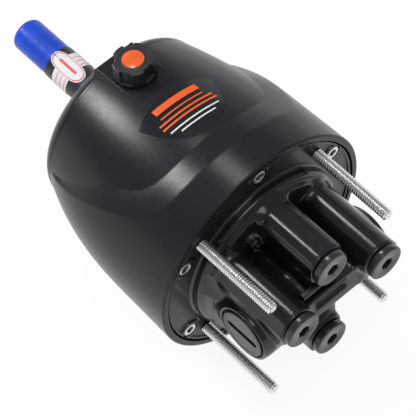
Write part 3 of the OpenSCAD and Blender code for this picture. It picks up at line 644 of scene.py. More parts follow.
def rougher_flats(mat, more):
    """Adds roughness to faces that look to the rear, which keep their cast skin."""
    normal = add_node(mat, "TexCoord").outputs["Normal"]
    to_rear = add_node(mat, "SeparateXYZ", None, {"Vector": normal}).outputs["Y"]
    before = mat.node_tree.nodes["Principled BSDF"].inputs["Roughness"].links[0].from_socket
    total = add_node(mat, "Math", None, {0: before, 1: spread(mat, to_rear, FLAT_SPAN, 0.0, more)})
    drive(mat, "Roughness", total.outputs["Value"])


def painted_shade_share(mat, distance):
    """Painted shade: 0 in hollows that are narrower than about the distance, 1 on open faces."""
    return add_node(mat, "AmbientOcclusion", {"Distance": distance}).outputs["AO"]


def metal_with_painted_shade(name, distance, dark, light, rough):
    """Bare metal with shade painted dark into its threads and sockets."""
    mat = new_material(name, light, rough[0], metallic=1.0)
    # Painted shade: the colour goes dark where the hollows shut out light.
    vary_colour(mat, painted_shade_share(mat, distance), dark, light)
    vary_roughness(mat, noise(mat, 450), *rough)
    bump(mat, (noise(mat, 1500), 5e-6))
    return mat


def port_plastic():
    """Satin black port plug, with shade painted dark into its slot."""
    mat = new_material("satin_port_plug", (0.04, 0.04, 0.043), 0.28, specular=0.5)
    # Painted shade: the base colour goes near black in the slot.
    vary_colour(mat, painted_shade_share(mat, 0.004), (0.003, 0.003, 0.003), (0.036, 0.036, 0.040))
    vary_roughness(mat, noise(mat, 270), 0.24, 0.32)
    bump(mat, (noise(mat, 900), 1e-5))
    return mat


LOOKS = make_materials()


# Housing

def skirt_radius(s):
    """Radius of the skirt, which tapers and then bends inwards."""
    bend = np.maximum(0, (s - SKIRT_BEND_S) / (SHOULDER_S - SKIRT_BEND_S))
    return RIM_R - SKIRT_TAPER * s - SKIRT_DROP * bend ** SKIRT_POWER


def hood_radius(s):
    """Radius of the lower-lying hood."""
    on = s - HOOD_S
    return RIM_R - SKIRT_TAPER * HOOD_S - HOOD_STEP - HOOD_SLOPE * on - HOOD_BEND * on ** 2


def hood_share(s, angle_deg):
    """How far the surface has dropped from the skirt (0) to the hood (1); the angle is taken from the top."""
    rear = s - BAND_S
    side = (BAND_ANGLE + BAND_SIDE_SLOPE * rear - angle_deg) * BAND_MM_PER_DEG
    inset = (rear + side - np.sqrt((rear - side) ** 2 + 4 * BAND_CORNER ** 2)) / 2
    width = BAND_W * np.clip((BAND_END_S - s) / BAND_FADE, BAND_LEAST, 1)
    return np.clip(inset / width, 0, 1)


def shell_radius(s, angle_deg):
    """Radius of the housing's outside."""
    drop = np.maximum(0, skirt_radius(s) - hood_radius(s))
    return skirt_radius(s) - hood_share(s, angle_deg) * drop


def housing_rings():
    """Points and faces of the housing: rings outside from the rim to the nose, then back inside."""
    a = full_turn(HOUSING_AROUND)
    from_top = np.degrees(np.minimum(a, 2 * math.pi - a))
    rings = []

    def ring(s, r):
        rings.append(np.stack(np.broadcast_arrays(r * np.sin(a), r * np.cos(a), s), 1))

    for inward, s in arc(0, RIM_ROUND, RIM_ROUND, 270, 360, 5):
        ring(s, shell_radius(s, from_top) - RIM_ROUND + inward)
    for s in np.arange(RIM_ROUND + HOUSING_STEP, SHOULDER_S, HOUSING_STEP):
        ring(s, shell_radius(s, from_top))
    shoulder_r = hood_radius(SHOULDER_S)
    for t in np.linspace(0, math.acos(NOSE_R / shoulder_r), DOME_RINGS):
        ring(SHOULDER_S + DOME_H * math.sin(t), shoulder_r * math.cos(t))
    nose = arc(NOSE_R - NOSE_ROUND, NOSE_S - NOSE_ROUND, NOSE_ROUND, 0, 90, 5)
    for r, s in (*nose, (SEAL_R, NOSE_S), (SEAL_R, SEAL_S), (BORE_R, SEAL_S), (BORE_R, BORE_END_S)):
        ring(s, r)
    inner_r, inner_h = shoulder_r - WALL_T, DOME_H - WALL_T
    for t in np.linspace(math.acos(NOSE_R / inner_r), 0, 8):
        ring(SHOULDER_S + inner_h * math.sin(t), inner_r * math.cos(t))
    for s in np.linspace(SHOULDER_S, LEDGE_S, 12)[1:]:
        ring(s, hood_radius(max(s, HOOD_S)) - WALL_T)
    for s, r in ((LEDGE_S, LEDGE_R), (SEAT_S, LEDGE_R), (SEAT_S, SEAT_R), (0, SEAT_R)):
        ring(s, r)
    return np.concatenate(rings), ring_faces(len(rings), HOUSING_AROUND, closed=True)


def pad_block():
    """The raised flat tongue under the fill cap, with its edges rounded."""
    half, foot = PAD_W / 2, PAD_W / 2 + PAD_DRAFT
    section = [(-foot, -PAD_DEPTH), (foot, -PAD_DEPTH), (half, 0), (-half, 0)]
    points = [(x, y, z) for y in (PAD_BACK, -PAD_FRONT) for x, z in section]
    faces = [[3, 2, 1, 0], [4, 5, 6, 7]] + [[i, (i + 1) % 4, (i + 1) % 4 + 4, i + 4] for i in range(4)]
    obj = mesh_object("pad_block", moved((points, faces), PAD))
    bm = bmesh.new()
    bm.from_mesh(obj.data)
    bm.verts.ensure_lookup_table()
    top = {2, 3, 6, 7}
    edges = [e for e in bm.edges if {v.index for v in e.verts} <= top]
    bmesh.ops.bevel(bm, geom=edges, offset=PAD_ROUND * MM, segments=4, affect="EDGES", profile=0.5)
    bm.to_mesh(obj.data)
    bm.free()
    return obj


def make_housing():
    """The shell with the pad on it, a seat for the cap and the neck's bore."""
    obj = mesh_object("front_housing_shell", moved(housing_rings(), FRONT), HOUSING_SHARP_DEG)
    boolean(obj, pad_block(), "UNION", HOUSING_SHARP_DEG)
    seat_r = CAP_R + CAP_SEAT_GAP
    for name, r, floor in (("cap_seat", seat_r, 0), ("neck_bore", NECK_R, -NECK_DEPTH)):
        tool = mesh_object(name, moved(lathe([(r, floor), (r, CAP_H)]), PAD))
        boolean(obj, tool, "DIFFERENCE", HOUSING_SHARP_DEG)
    piece(obj, "pump", "housing_paint", "housing", "front_housing")


# Valve casting, as a distance field whose parts melt together in fillets

def round_cylinder(across, along, r, half_l, edge):
    """Distance to a cylinder with rounded edges, from the distances across and along its axis."""
    u, v = across - (r - edge), np.abs(along) - (half_l - edge)
    return np.minimum(np.maximum(u, v), 0) + np.hypot(np.maximum(u, 0), np.maximum(v, 0)) - edge


def round_box(x, y, z, half, edge):
    """Distance to a box with rounded edges round the origin."""
    u, v, w = (np.abs(c) - (h - edge) for c, h in zip((x, y, z), half))
    outside = np.sqrt(np.maximum(u, 0) ** 2 + np.maximum(v, 0) ** 2 + np.maximum(w, 0) ** 2)
    return np.minimum(np.maximum(u, np.maximum(v, w)), 0) + outside - edge


def melt(a, b, width):
    """Union of two distances with a fillet between them."""
    blend = np.maximum(width - np.abs(a - b), 0) / width
    return np.minimum(a, b) - blend * blend * width / 4


def carve(a, b, width):
    """a without b, with a rounded edge."""
    return -melt(-a, b, width)


def casting_field(x, y, z):
    """Distance to the casting above its flange plate."""
    def post(cx, cz, r, y0, y1, edge, core=0):
        """Round post along Y, or one squared round a core of that half width."""
        across, up = np.abs(x - cx) - core, np.abs(z - cz) - core
        section = np.hypot(np.maximum(across, 0), np.maximum(up, 0)) + np.minimum(np.maximum(across, up), 0)
        return round_cylinder(section + core, y - (y0 + y1) / 2, r, (y1 - y0) / 2, edge)

    def block(half_x, y0, y1, z0, z1, edge=BLOCK_ROUND):
        half = (half_x, (y1 - y0) / 2, (z1 - z0) / 2)
        return round_box(x, y - (y0 + y1) / 2, z - (z0 + z1) / 2, half, edge)

    def cross_bar(x0, x1, cy, cz, r, edge):
        return round_cylinder(np.hypot(y - cy, z - cz), x - (x0 + x1) / 2, r, abs(x1 - x0) / 2, edge)

    def barrel(px, pz, face):
        """A plug's barrel; those in the middle are squared and stand on a rib."""
        end = face - PLUG_HEAD_T - PLUG_GROOVE
        if px:
            return post(px, pz, BARREL_R, ROOT_Y, end, BARREL_ROUND)
        rib = block(RIB_HALF_X, ROOT_Y, end - RIB_SHORT, *sorted((0, pz)), RIB_ROUND)
        return melt(post(px, pz, BARREL_R, ROOT_Y, end, BARREL_ROUND, BARREL_CORE), rib, RIB_FILLET)

    def wall(side):
        """Wall from a side barrel down to a port boss: a slanting rear edge, and draft on its outer face."""
        corners = [(0, -PORT_R), (PORT_Y, -PORT_R), WALL_SLANT_LOW, WALL_SLANT_HIGH,
                   (WALL_SLANT_HIGH[0], WALL_TOP_Z), (0, WALL_TOP_Z)]
        below_barrel = np.clip((WALL_TOP_Z - z) / WALL_SWELL_H, 0, 1)
        outer = WALL_X + WALL_DRAFT * np.clip(WALL_DRAFT_Y - y, 0, WALL_DRAFT_L) * below_barrel
        inside = np.maximum(side * x - outer, WALL_INNER_X - side * x)
        for (ya, za), (yb, zb) in zip(corners, corners[1:] + corners[:1]):
            length = math.hypot(yb - ya, zb - za)
            inside = np.maximum(inside, ((y - ya) * (zb - za) - (z - za) * (yb - ya)) / length)
        return inside

    disc = post(0, 0, DISC_R - DISC_INSET, DISC_ROOT_Y, DISC_Y - DISC_INSET, DISC_ROUND)
    d = melt(disc, post(0, 0, HUB_R, DISC_ROOT_Y, HUB_Y, HUB_ROUND), HUB_FILLET)
    for place in PLUGS.values():
        d = melt(d, barrel(*place), BARREL_FILLET)
    for solid in (REAR_PLATE, CORE):
        d = melt(d, block(*solid), BLOCK_FILLET)
    d = melt(d, cross_bar(-PORT_X, PORT_X, PORT_Y, 0, PORT_R, PORT_ROUND), PORT_FILLET)
    for side in (-1, 1):
        d = melt(d, wall(side), WALL_FILLET)
    d = melt(d, cross_bar(0, STUB_ROOT_L, STUB_Y, STUB_Z, STUB_R, STUB_ROOT_ROUND), STUB_ROUND)
    d = melt(d, post(NUB_X, NUB_Z, NUB_R, 0, NUB_Y, NUB_ROUND), NUB_FILLET)
    nub_hole = post(NUB_X, NUB_Z, NUB_HOLE_R, NUB_Y - NUB_HOLE_DEPTH, NUB_Y + CUT_PAST, CUT_ROUND)
    d = carve(d, nub_hole, CUT_EDGE)
    d = carve(d, block(*POCKET, POCKET_ROUND), CUT_EDGE)
    for side in (-1, 1):
        floor, past = side * (PORT_X - PORT_RECESS_DEPTH), side * (PORT_X + CUT_PAST)
        d = carve(d, cross_bar(floor, past, PORT_Y, 0, PORT_RECESS_R, CUT_ROUND), CUT_EDGE)
    return d


def surface_net(field, low, step):
    """Points and quads where a sampled field is zero: one point in each cell that the surface crosses."""
    inside = field < 0
    shape = np.array(field.shape) - 1

    def corner(a, c):
        return a[tuple(slice(k, k + n) for k, n in zip(c, shape))]

    corners = [(i, j, k) for i in (0, 1) for j in (0, 1) for k in (0, 1)]
    filled = sum(corner(inside, c).astype(np.int8) for c in corners)
    crossed = (filled > 0) & (filled < 8)
    cells = np.argwhere(crossed)
    number = np.full(shape, -1)
    number[crossed] = np.arange(len(cells))
    total, count = np.zeros((len(cells), 3)), np.zeros(len(cells))
    for c in corners:
        for axis in range(3):
            if c[axis]:
                continue
            e = list(c)
            e[axis] = 1
            fa, fb = corner(field, c)[crossed], corner(field, e)[crossed]
            hit = (fa < 0) != (fb < 0)
            point = np.tile(np.array(c, float), (hit.sum(), 1))
            point[:, axis] += fa[hit] / (fa[hit] - fb[hit])
            total[hit] += point
            count[hit] += 1
    points = np.array(low) + step * (cells + total / count[:, None])
    faces = []
    for axis in range(3):
        b, c = (axis + 1) % 3, (axis + 2) % 3
        ahead = np.roll(inside, -1, axis)
        edge = np.argwhere(inside != ahead)
        edge = edge[(edge[:, axis] < shape[axis]) & (edge[:, b] > 0) & (edge[:, c] > 0)
                    & (edge[:, b] < shape[b]) & (edge[:, c] < shape[c])]
        ring = []
        for db, dc in ((1, 1), (0, 1), (0, 0), (1, 0)):
            at = edge.copy()
            at[:, b] -= db
            at[:, c] -= dc
            ring.append(number[tuple(at.T)])
        faces.append(np.stack(ring, 1))
    return points, np.concatenate(faces)


def relaxed(points, quads, rounds):
    """Points moved towards the mean of their neighbours."""
    pairs = np.concatenate([quads[:, [i, (i + 1) % 4]] for i in range(4)])
    pairs = np.concatenate([pairs, pairs[:, ::-1]])
    count = np.bincount(pairs[:, 0], minlength=len(points))[:, None]
    for _ in range(rounds):
        mean = np.stack([np.bincount(pairs[:, 0], points[pairs[:, 1], k], len(points)) for k in range(3)], 1)
        points = points + 0.5 * (mean / count - points)
    return points


def casting_body():
    """The casting's mesh, from its field sampled on a grid."""
    axes = [np.arange(low, high, CASTING_STEP) for low, high in zip(CASTING_LOW, CASTING_HIGH)]
    field = casting_field(*np.meshgrid(*axes, indexing="ij", sparse=True))
    points, quads = surface_net(np.ascontiguousarray(field), CASTING_LOW, CASTING_STEP)
    return relaxed(points, quads, RELAX_ROUNDS), quads.tolist()


def flange_plate():
    """The casting's plate with its lip and the rounded edge of its disc."""
    lip_mid = -LIP_DROP - LIP_ROUND
    profile = [(AXIS_R, -PLATE_T), (PLATE_R, -PLATE_T)]
    profile += arc(PLATE_R - LIP_ROUND, lip_mid, LIP_ROUND, 0, 90, 3)
    profile += arc(PLATE_R - LIP_W + LIP_ROUND, lip_mid, LIP_ROUND, 90, 180, 3)
    profile += [(PLATE_R - LIP_W, -PLATE_DROP)]
    profile += arc(DISC_R + DISC_FOOT, DISC_FOOT - PLATE_DROP, DISC_FOOT, 270, 180, 8)
    profile += arc(DISC_R - DISC_ROUND, DISC_Y - DISC_ROUND, DISC_ROUND, 0, 90, 10)
    profile += [(HUB_R, DISC_Y), (AXIS_R, DISC_Y)]
    return moved(lathe(profile, 240), REAR)


def screw_surrounds():
    """Raised pads round the cover screws, cut off where they reach the plate's lip."""
    edge = PLATE_R - LIP_W / 2
    inner, foot, turns = SCREW_HEAD_R + SCREW_GAP, SCREW_PAD_R + SCREW_PAD_FOOT, 72
    top = SCREW_PAD_H - PLATE_DROP
    sunk = -PLATE_DROP - SCREW_PAD_SUNK
    profile = [(inner, sunk), (foot, sunk), (foot, -PLATE_DROP)]
    profile += arc(foot, SCREW_PAD_FOOT - PLATE_DROP, SCREW_PAD_FOOT, 270, 180, 4)
    profile += arc(SCREW_PAD_R - SCREW_PAD_ROUND, top - SCREW_PAD_ROUND, SCREW_PAD_ROUND, 0, 90, 3)
    profile += [(inner, top)]
    a = full_turn(turns)
    to_edge = np.sqrt(edge ** 2 - (SCREW_CIRCLE_R * np.sin(a)) ** 2) - SCREW_CIRCLE_R * np.cos(a)
    points = np.concatenate([ring_at(np.minimum(r, to_edge), z, a) for r, z in profile])
    ring = (points, ring_faces(len(profile), turns, closed=True))
    outward = Matrix.Translation((SCREW_CIRCLE_R, 0, 0))
    return [moved(ring, REAR @ Matrix.Rotation(a, 4, "Z") @ outward) for a in SCREW_ANGLES]


def pocket_ridge():
    """A thin raised edge round the pocket in the rear plate."""
    path = []
    for cx, cz, start in ((1, 1, 0), (-1, 1, 90), (-1, -1, 180), (1, -1, 270)):
        path += arc(cx * (RIDGE_HALF_X - RIDGE_CORNER), cz * (RIDGE_HALF_Z - RIDGE_CORNER), RIDGE_CORNER,
                    start, start + 90, 5)
    path = np.array(path)
    ahead = np.roll(path, -1, 0) - np.roll(path, 1, 0)
    out = np.stack([ahead[:, 1], -ahead[:, 0]], 1) / np.hypot(*ahead.T)[:, None]
    section = arc(0, 0, RIDGE_R, 0, 360, 8)[:-1]
    rings = [np.column_stack([path + out * u, np.full(len(path), v)]) for u, v in section]
    ridge = (np.concatenate(rings), ring_faces(len(rings), len(path), closed=True))
    return moved(ridge, rear_at(0, POCKET_MID_Z, REAR_PLATE_Y))


def at_screw(angle, y):
    """Place of a cover screw on its circle."""
    return rear_at(SCREW_CIRCLE_R * math.cos(angle), SCREW_CIRCLE_R * math.sin(angle), y)


def make_casting():
    """The turned plate with its screw holes, and the cast forms that stand on it."""
    plate = mesh_object("valve_body_casting", flange_plate(), PLATE_SHARP_DEG)
    hole_part = lathe([(SCREW_HOLE_R, -SCREW_HOLE_DEPTH), (SCREW_HOLE_R, CUT_PAST)], 48)
    for a in SCREW_ANGLES:
        hole = mesh_object("screw_hole", moved(hole_part, at_screw(a, 0)))
        boolean(plate, hole, "DIFFERENCE", PLATE_SHARP_DEG)
    rest = mesh_object("casting_rest", joined(casting_body(), pocket_ridge(), *screw_surrounds()))
    bm = bmesh.new()
    bm.from_mesh(plate.data)
    bm.from_mesh(rest.data)
    bm.to_mesh(plate.data)
    bm.free()
    bpy.data.objects.remove(rest)
    shade(plate, PLATE_SHARP_DEG)
    piece(plate, "pump", "casting_paint", "casting", "valve_body")


def make_stub():
    """Round pin that stands out sideways under the top barrel."""
    straight = STUB_L - STUB_ROUND
    profile = [(AXIS_R, 0), (STUB_R, 0), (STUB_R, straight)]
    profile += arc(STUB_R - STUB_ROUND, straight, STUB_ROUND, 0, 90, 4)
    profile += [(STUB_CENTRE_R, STUB_L), (AXIS_R, STUB_L - STUB_CENTRE_DEPTH)]
    place = placed(x=(0, 1, 0), y=(0, 0, 1), z=(1, 0, 0), origin=(STUB_X - STUB_L, STUB_Y, STUB_Z))
    obj = mesh_object("valve_body_stub_pin", moved(lathe(profile, 48), place))
    piece(obj, "pump", "casting_paint", "port")


# Plugs, screws and studs

def socket_head(socket, head_r, edge):
    """Profile of a round head with a hex socket, its top at local zero."""
    across, depth, bevel, bevel_r = socket
    side, flat_r = hexagon(across), head_r - edge
    profile = [(side, -depth), (side, -bevel), (bevel_r, 0), (flat_r - FLAT_EDGE, 0)]
    return profile + arc(flat_r, -edge, edge, 90, 0, 6)


def plug_part():
    """Valve plug with its face at local zero."""
    edge = PLUG_UNDER_ROUND
    profile = socket_head(PLUG_SOCKET, PLUG_R, PLUG_ROUND)
    profile += arc(PLUG_R - edge, edge - PLUG_HEAD_T, edge, 0, -90, 3)
    profile += [(PLUG_NECK_R, -PLUG_HEAD_T), (PLUG_NECK_R, -PLUG_HEAD_T - PLUG_GROOVE - PLUG_SUNK)]
    return lathe(profile, 120)


def make_plugs():
    """The four valve plugs."""
    for node, (x, z, face) in PLUGS.items():
        obj = mesh_object(node + "_turned", moved(plug_part(), rear_at(x, z, face)))
        piece(obj, "pump", "plug_black", "plug", node)


def port_plug_part():
    """Port plug with a raised rim, along local Z."""
    edge = PORT_PLUG_ROUND
    (_, rim_h), (_, face_h) = PORT_PLUG_RIM
    profile = [(AXIS_R, -PORT_PLUG_T), (PORT_PLUG_R, -PORT_PLUG_T)]
    profile += arc(PORT_PLUG_R - edge, rim_h - edge, edge, 0, 90, 5)
    profile += [*PORT_PLUG_RIM, (AXIS_R, face_h)]
    return lathe(profile, 120)


def slot_part():
    """A slot with round ends, along local Y."""
    r, half = SLOT_W / 2, (SLOT_L - SLOT_W) / 2
    outline = arc(0, half, r, 0, 180, 8) + arc(0, -half, r, 180, 360, 8)
    points = [(x, y, z) for z in (SLOT_FLOOR, SLOT_TOP) for x, y in outline]
    return points, ring_faces(2, len(outline))


def make_port_plugs():
    """The two slotted port plugs."""
    for node, side in (("left_port_plug", -1), ("right_port_plug", 1)):
        place = placed(x=(0, 0, -side), y=(0, 1, 0), z=(side, 0, 0), origin=(side * PORT_X, PORT_Y, 0))
        obj = mesh_object(node + "_turned", moved(port_plug_part(), place))
        boolean(obj, mesh_object("slot", moved(slot_part(), place)), "DIFFERENCE")
        piece(obj, "pump", "black_gloss_plastic", "port", node)


def make_screws():
    """The socket-head cover screws, each with its top at local zero."""
    profile = socket_head(SCREW_SOCKET, SCREW_HEAD_R, SCREW_HEAD_ROUND)
    profile += [(SCREW_HEAD_R, -SCREW_HEAD_H), (SCREW_SHANK_R, -SCREW_HEAD_H), (SCREW_SHANK_R, -SCREW_L)]
    screws = [moved(lathe(profile, 72), at_screw(a, SCREW_TOP_Y)) for a in SCREW_ANGLES]
    piece(mesh_object("cover_screws_socket_head", joined(*screws)), "pump", "steel", "zinc", "cover_screws")


def thread_part():
    """Threaded rod along local Z from the flange to its chamfered, slightly dished tip."""
    turns, per_pitch = 32, 8
    a = full_turn(turns)
    rings = []
    for z in np.arange(-PLATE_T, STUD_OUT, STUD_THREAD / per_pitch):
        phase = (z / STUD_THREAD - a / (2 * math.pi)) % 1
        crest = np.clip(STUD_CREST - np.abs(phase - 0.5) * STUD_FLANK, 0, 1)
        chamfer_r = STUD_R - STUD_CHAMFER + max(0.0, STUD_OUT - z)
        rings.append(ring_at(np.minimum(STUD_R - STUD_DEPTH * (1 - crest), chamfer_r), z, a))
    rings += [ring_at(STUD_R - inset, STUD_OUT - drop, a) for inset, drop in STUD_TIP]
    return np.concatenate(rings), ring_faces(len(rings), turns)


def make_studs():
    """The four mounting studs."""
    half = STUD_PITCH / 2
    studs = [moved(thread_part(), rear_at(x, z, 0)) for x in (-half, half) for z in (-half, half)]
    obj = mesh_object("mounting_studs_threaded", joined(*studs), STUD_SHARP_DEG)
    piece(obj, "pump", "steel", "stainless", "mounting_studs")


# Check springs

def coil_part(length):
    """Coil of round wire along local Z from zero to its length, with closed ends."""
    per_turn, sides = 40, 12
    rings = CHECK_TURNS * per_turn + 1
    a = np.arange(rings) * 2 * math.pi / per_turn
    b = full_turn(sides)
    rise = np.linspace(CHECK_WIRE_R, length - CHECK_WIRE_R, rings)
    wire = list(zip(CHECK_COIL_R + CHECK_WIRE_R * np.cos(b), CHECK_WIRE_R * np.sin(b)))
    points = [(r * math.cos(angle), r * math.sin(angle), z + h) for angle, z in zip(a, rise) for r, h in wire]
    return points, ring_faces(rings, sides)


def make_check_springs():
    """Each spring reaches from its ball to its plug."""
    for plug in PLUGS:
        body = plug.replace("plug", "check")
        node = body + "_spring"
        low, high = (np.array(corner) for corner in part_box(node))
        x, _, z = (low + high) / 2
        length = (high[1] - low[1]) / MM
        place = rear_at(x / MM, z / MM, low[1] / MM)
        obj = mesh_object(node + "_wire", moved(coil_part(length), place))
        paint(obj, "steel")
        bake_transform(obj)
        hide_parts(node)


# Fill cap

def lobed(r):
    """Radius with recesses between the cap's lobes."""
    def radius(a):
        wave = np.cos((a - CAP_REST_ANGLE) * CAP_LOBES)
        edge = math.cos(math.pi * (1 - CAP_NOTCH_SHARE))
        return r - CAP_NOTCH * np.clip(0.5 + CAP_NOTCH_STEEPNESS * (edge - wave), 0, 1)
    return radius


def cap_part():
    """The cap with its foot at local zero: lobes, a groove in its top and the badge's seat."""
    seat, seat_r = CAP_H - BADGE_SINK, BADGE_R + BADGE_GAP
    profile = [(CAP_CORE_R, 0), (CAP_R - CAP_FOOT_INSET, 0)]
    profile += arc(CAP_R - CAP_FOOT_ROUND, CAP_FOOT_ROUND, CAP_FOOT_ROUND, 300, 360, 3)
    profile += [(CAP_R, CAP_FOOT_H), (lobed(CAP_R), CAP_LOBE_H)]
    profile += [(lobed(r), z) for r, z in arc(CAP_R - CAP_ROUND, CAP_H - CAP_ROUND, CAP_ROUND, 0, 90, 6)]
    profile += [(r, CAP_H + z) for r, z in CAP_GROOVE]
    profile += [(seat_r, CAP_H), (seat_r, seat), (CAP_CORE_R, seat)]
    return lathe(profile, 240)


def badge_part():
    """The domed badge, its underside at local zero."""
    rise = BADGE_T - BADGE_SINK
    dome_r = (BADGE_R ** 2 + rise ** 2) / (2 * rise)
    half = math.degrees(math.asin(BADGE_R / dome_r))
    almost_top = 89.9
    profile = [(AXIS_R, 0), (BADGE_R, 0)] + arc(0, BADGE_T - dome_r, dome_r, 90 - half, almost_top, 14)
    return lathe(profile, 120)


def make_fill_cap():
    """The cap with its stem in the neck, and the badge on it."""
    stem_r = NECK_R - STEM_GAP
    stem = lathe([(CAP_CORE_R, -STEM_L), (stem_r, -STEM_L), (stem_r, STEM_TOP)], 96)
    lift = PAD @ Matrix.Translation((0, 0, GASKET_T))
    obj = mesh_object("fill_cap_lobed", joined(moved(cap_part(), lift), moved(stem, PAD)), CAP_SHARP_DEG)
    piece(obj, "fill_cap", "black_plastic", "cap", "fill_cap")
    seat = lift @ Matrix.Translation((0, 0, CAP_H - BADGE_SINK))
    badge = mesh_object("cap_badge_dome", moved(badge_part(), seat))
    piece(badge, "fill_cap", "orange", "badge", "cap_badge")


# Shaft end

def make_shaft_cap():
    """The dipped end cap: a thin lip, slight ripples and a rounded tip."""
    start = -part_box("shaft_cap")[1].y / MM
    profile = [(END_CAP_R - END_CAP_WALL, start), (END_CAP_R - END_CAP_LIP_INSET, start)]
    profile += arc(END_CAP_R - END_CAP_LIP, start + END_CAP_LIP, END_CAP_LIP, 300, 360, 3)
    for k in range(RIPPLES):
        ripple = RIPPLE * (1 + math.sin(k * RIPPLE_TURN))
        profile += [(END_CAP_R - ripple, start + RIPPLE_START + RIPPLE_STEP * k)]
    inset = END_CAP_TIP_INSET
    profile += arc(END_CAP_R - inset, END_CAP_TIP_S - inset, END_CAP_TIP_ROUND, 0, 90, 12)
    profile += [(END_CAP_TIP_R, END_CAP_TIP_S), (AXIS_R, END_CAP_TIP_S)]
    obj = mesh_object("shaft_cap_dipped", moved(lathe(profile, 120), FRONT), THIN_SHARP_DEG)
    piece(obj, "shaft", "blue_vinyl", "blue", "shaft_cap")


def even_patch(rows_s, angles, lift, thickness):
    """A patch on the sleeve that spans a row of distances and a row of angles."""
    return curved_sheet(*np.meshgrid(rows_s, angles, indexing="ij"), SLEEVE_R + lift, thickness)


def oval_patch(half_l, half_w, lift, thickness, hole, rings):
    """The tag's oval, or its outline, with a hole of a share of its size."""
    t = np.linspace(0, 2 * math.pi, 97)
    shares = np.linspace(hole, 1, rings)
    long, wide = (np.sign(c) * np.abs(c) ** TAG_OVAL_POWER * half
                  for c, half in ((np.cos(t), half_l), (np.sin(t), half_w)))
    s = TAG_MID_S + np.outer(shares, long)
    a = TAG_MID_DEG + np.degrees(np.outer(shares, wide) / (SLEEVE_R + lift))
    return curved_sheet(s, a, SLEEVE_R + lift, thickness)


def make_tag():
    """Paper tag: a band round the sleeve and an oval on it, with plain red lines."""
    around = np.linspace(0, 360, 121)
    band = even_patch(np.linspace(*TAG_BAND_S, 4), around, *TAG_BAND_LAYER)
    oval = oval_patch(*TAG_OVAL, *TAG_OVAL_LAYER, TAG_OVAL_HOLE, 12)
    paper = mesh_object("shaft_tag_paper", joined(band, oval), THIN_SHARP_DEG)
    piece(paper, "shaft", "paper", "paper", "shaft_tag")
    lines = [even_patch((s, s + TAG_LINE_W), around, *TAG_LINE_LAYER) for s in TAG_LINES_S]
    outline = oval_patch(*TAG_OUTLINE, *TAG_PRINT_LAYER, TAG_OUTLINE_HOLE, 3)
    bar_s = TAG_MID_S + np.linspace(-TAG_BAR_HALF_L, TAG_BAR_HALF_L, 9)
    bar_deg = TAG_MID_DEG + np.linspace(-TAG_BAR_HALF_DEG, TAG_BAR_HALF_DEG, 5)
    bar = even_patch(bar_s, bar_deg, *TAG_PRINT_LAYER)
    red = mesh_object("shaft_tag_lines", joined(*lines, outline, bar), THIN_SHARP_DEG)
    piece(red, "shaft", "paper", "red")


# Label on the hood

def stripe(s, half_w, left_deg, right_deg):
    """A straight bar across the label."""
    angle = np.linspace(left_deg, right_deg, 17)
    rows = s + STRIPE_SLOPE * angle + np.linspace(-half_w, half_w, 4)[:, None]
    return curved_sheet(rows, np.tile(angle, (4, 1)), hood_radius(rows) + LABEL_LIFT + STRIPE_LIFT, STRIPE_T)


def make_label():
    """The label's dark field, round below and flat above, with plain bars in place of its words."""
    place = np.linspace(-LABEL_END, LABEL_END, 61)
    low = LABEL_LOW_S + (LABEL_TIP_S - LABEL_LOW_S) * np.abs(place) ** LABEL_POWER
    high = LABEL_HIGH_S + (LABEL_TIP_S - LABEL_HIGH_S) * place ** 2
    rows = low + (high - low) * np.linspace(0, 1, 17)[:, None]
    angle = np.tile(LABEL_MID_DEG + LABEL_HALF_DEG * place, (17, 1))
    field = curved_sheet(rows, angle, hood_radius(rows) + LABEL_LIFT, LABEL_T)
    piece(mesh_object("hood_label", field, THIN_SHARP_DEG), "pump", "black_gloss_plastic", "label")
    for look, slot, stripes in (("orange", "orange", ORANGE_STRIPES), ("white", "paper", WHITE_STRIPES)):
        obj = mesh_object("hood_label_" + look, joined(*(stripe(*bar) for bar in stripes)), THIN_SHARP_DEG)
        piece(obj, "pump", slot, look)


# CAD nodes that stay

NODE_FINISH = {
    "rubber": ("housing_seal", "cap_gasket", "shaft_seal", "plug_seals", "port_seals"),
    "bronze": ("nose_bush", "valve_plate", "bearing_cage"),
    "aluminium": ("pump_case", "swash_plate"),
    "sleeve": ("taper_sleeve",),
}


def dress_nodes():
    """Materials of the CAD nodes that no piece stands for."""
    finish = {node: kind for kind, names in NODE_FINISH.items() for node in names}
    for name, obj in nodes.items():
        if not obj.hide_render:
            paint(obj, finish.get(name, "steel"))


# Stage, light and camera

def make_camera():
    """The camera that was fitted to the photo."""
    a, e, roll = (math.radians(v) for v in (VIEW_AZIMUTH, VIEW_ELEVATION, VIEW_ROLL))
    back = Vector((math.sin(a) * math.cos(e), -math.cos(a) * math.cos(e), math.sin(e)))
    right = Vector((math.cos(a), math.sin(a), 0))
    up = back.cross(right)
    right, up = right * math.cos(roll) + up * math.sin(roll), up * math.cos(roll) - right * math.sin(roll)
    px = VIEW_DISTANCE / FOCAL_PX
    off_x, off_y = (ORIGIN_PX[0] - IMAGE_PX / 2) * px, (IMAGE_PX / 2 - ORIGIN_PX[1]) * px
    camera = new_object("camera", bpy.data.cameras.new("camera"))
    camera.data.sensor_width = SENSOR_MM
    camera.data.lens = FOCAL_PX * SENSOR_MM / IMAGE_PX
    camera.data.clip_end = CLIP_END
    camera.matrix_world = placed(right, up, back, (back * VIEW_DISTANCE - right * off_x - up * off_y) * MM)
    bpy.context.scene.camera = camera


def area_light(name, direction, distance, size, power):
    """A rectangular softbox that faces the origin."""
    light = bpy.data.lights.new(name, "AREA")
    light.shape, light.size, light.size_y, light.energy = "RECTANGLE", *size, power
    obj = new_object(name, light)
    way = Vector(direction).normalized()
    obj.location = way * distance
    obj.rotation_mode = "QUATERNION"
    obj.rotation_quaternion = way.to_track_quat("Z", "Y")


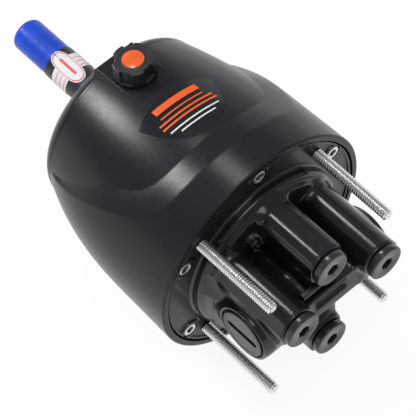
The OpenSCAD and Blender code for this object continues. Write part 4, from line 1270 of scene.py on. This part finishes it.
def make_lights():
    """Softboxes, each with its direction, distance, size and power, and the light of the room."""
    area_light("key_front", (0.28, -0.80, 0.52), 1.1, (0.24, 0.24), 5.2)
    area_light("overhead", (-0.08, -0.42, 0.90), 1.2, (0.24, 0.24), 2.3)
    area_light("side_starboard", (-0.85, -0.5, 0.15), 1.2, (0.8, 0.8), 0.9)
    area_light("side_port", (0.95, -0.2, 0.2), 1.2, (0.5, 0.5), 0.8)
    area_light("fill_rear", (0.1, 0.3, 0.95), 1.3, (0.6, 0.6), 3.4)
    world = bpy.context.scene.world or bpy.data.worlds.new("studio")
    bpy.context.scene.world = world
    world.use_nodes = True
    background = world.node_tree.nodes["Background"]
    background.inputs["Color"].default_value = ROOM_COLOUR
    background.inputs["Strength"].default_value = 1.0


def floor_material():
    """Pale floor that looks white to the camera and in reflections, and keeps a soft shadow."""
    mat = bpy.data.materials.new("pale_floor")
    mat.use_nodes = True
    mat.node_tree.nodes.clear()
    path = add_node(mat, "LightPath").outputs
    seen = path["Is Camera Ray"]
    for name in ("Is Glossy Ray", "Is Transmission Ray"):
        both = add_node(mat, "Math", None, {0: seen, 1: path[name]})
        both.operation = "MAXIMUM"
        seen = both.outputs[0]
    share = add_node(mat, "Math", {1: FLOOR_WHITE_SHARE}, {0: seen})
    share.operation = "MULTIPLY"
    pale = add_node(mat, "BsdfDiffuse", {"Color": FLOOR_COLOUR})
    white = add_node(mat, "Emission", {"Strength": FLOOR_WHITE})
    mix = add_node(mat, "MixShader", None, {"Fac": share.outputs[0], 1: pale.outputs[0], 2: white.outputs[0]})
    add_node(mat, "OutputMaterial", None, {"Surface": mix.outputs[0]})
    return mat


def make_floor():
    """A wide floor just under the part."""
    z = cad_box[0].z - FLOOR_GAP
    corners = [(x * FLOOR_HALF, y * FLOOR_HALF, z) for x, y in ((-1, -1), (1, -1), (1, 1), (-1, 1))]
    mesh = bpy.data.meshes.new("floor")
    mesh.from_pydata(corners, [], [(0, 1, 2, 3)])
    mesh.materials.append(floor_material())
    floor = new_object("floor", mesh)


def main():
    """Builds the stage and every piece."""
    bpy.context.scene.view_settings.view_transform = "Standard"
    for make in (make_camera, make_lights, make_floor, make_housing, make_casting, make_stub,
                 make_check_springs, make_plugs, make_port_plugs, make_screws, make_studs, make_fill_cap,
                 make_shaft_cap, make_tag, make_label, dress_nodes):
        make()


main()
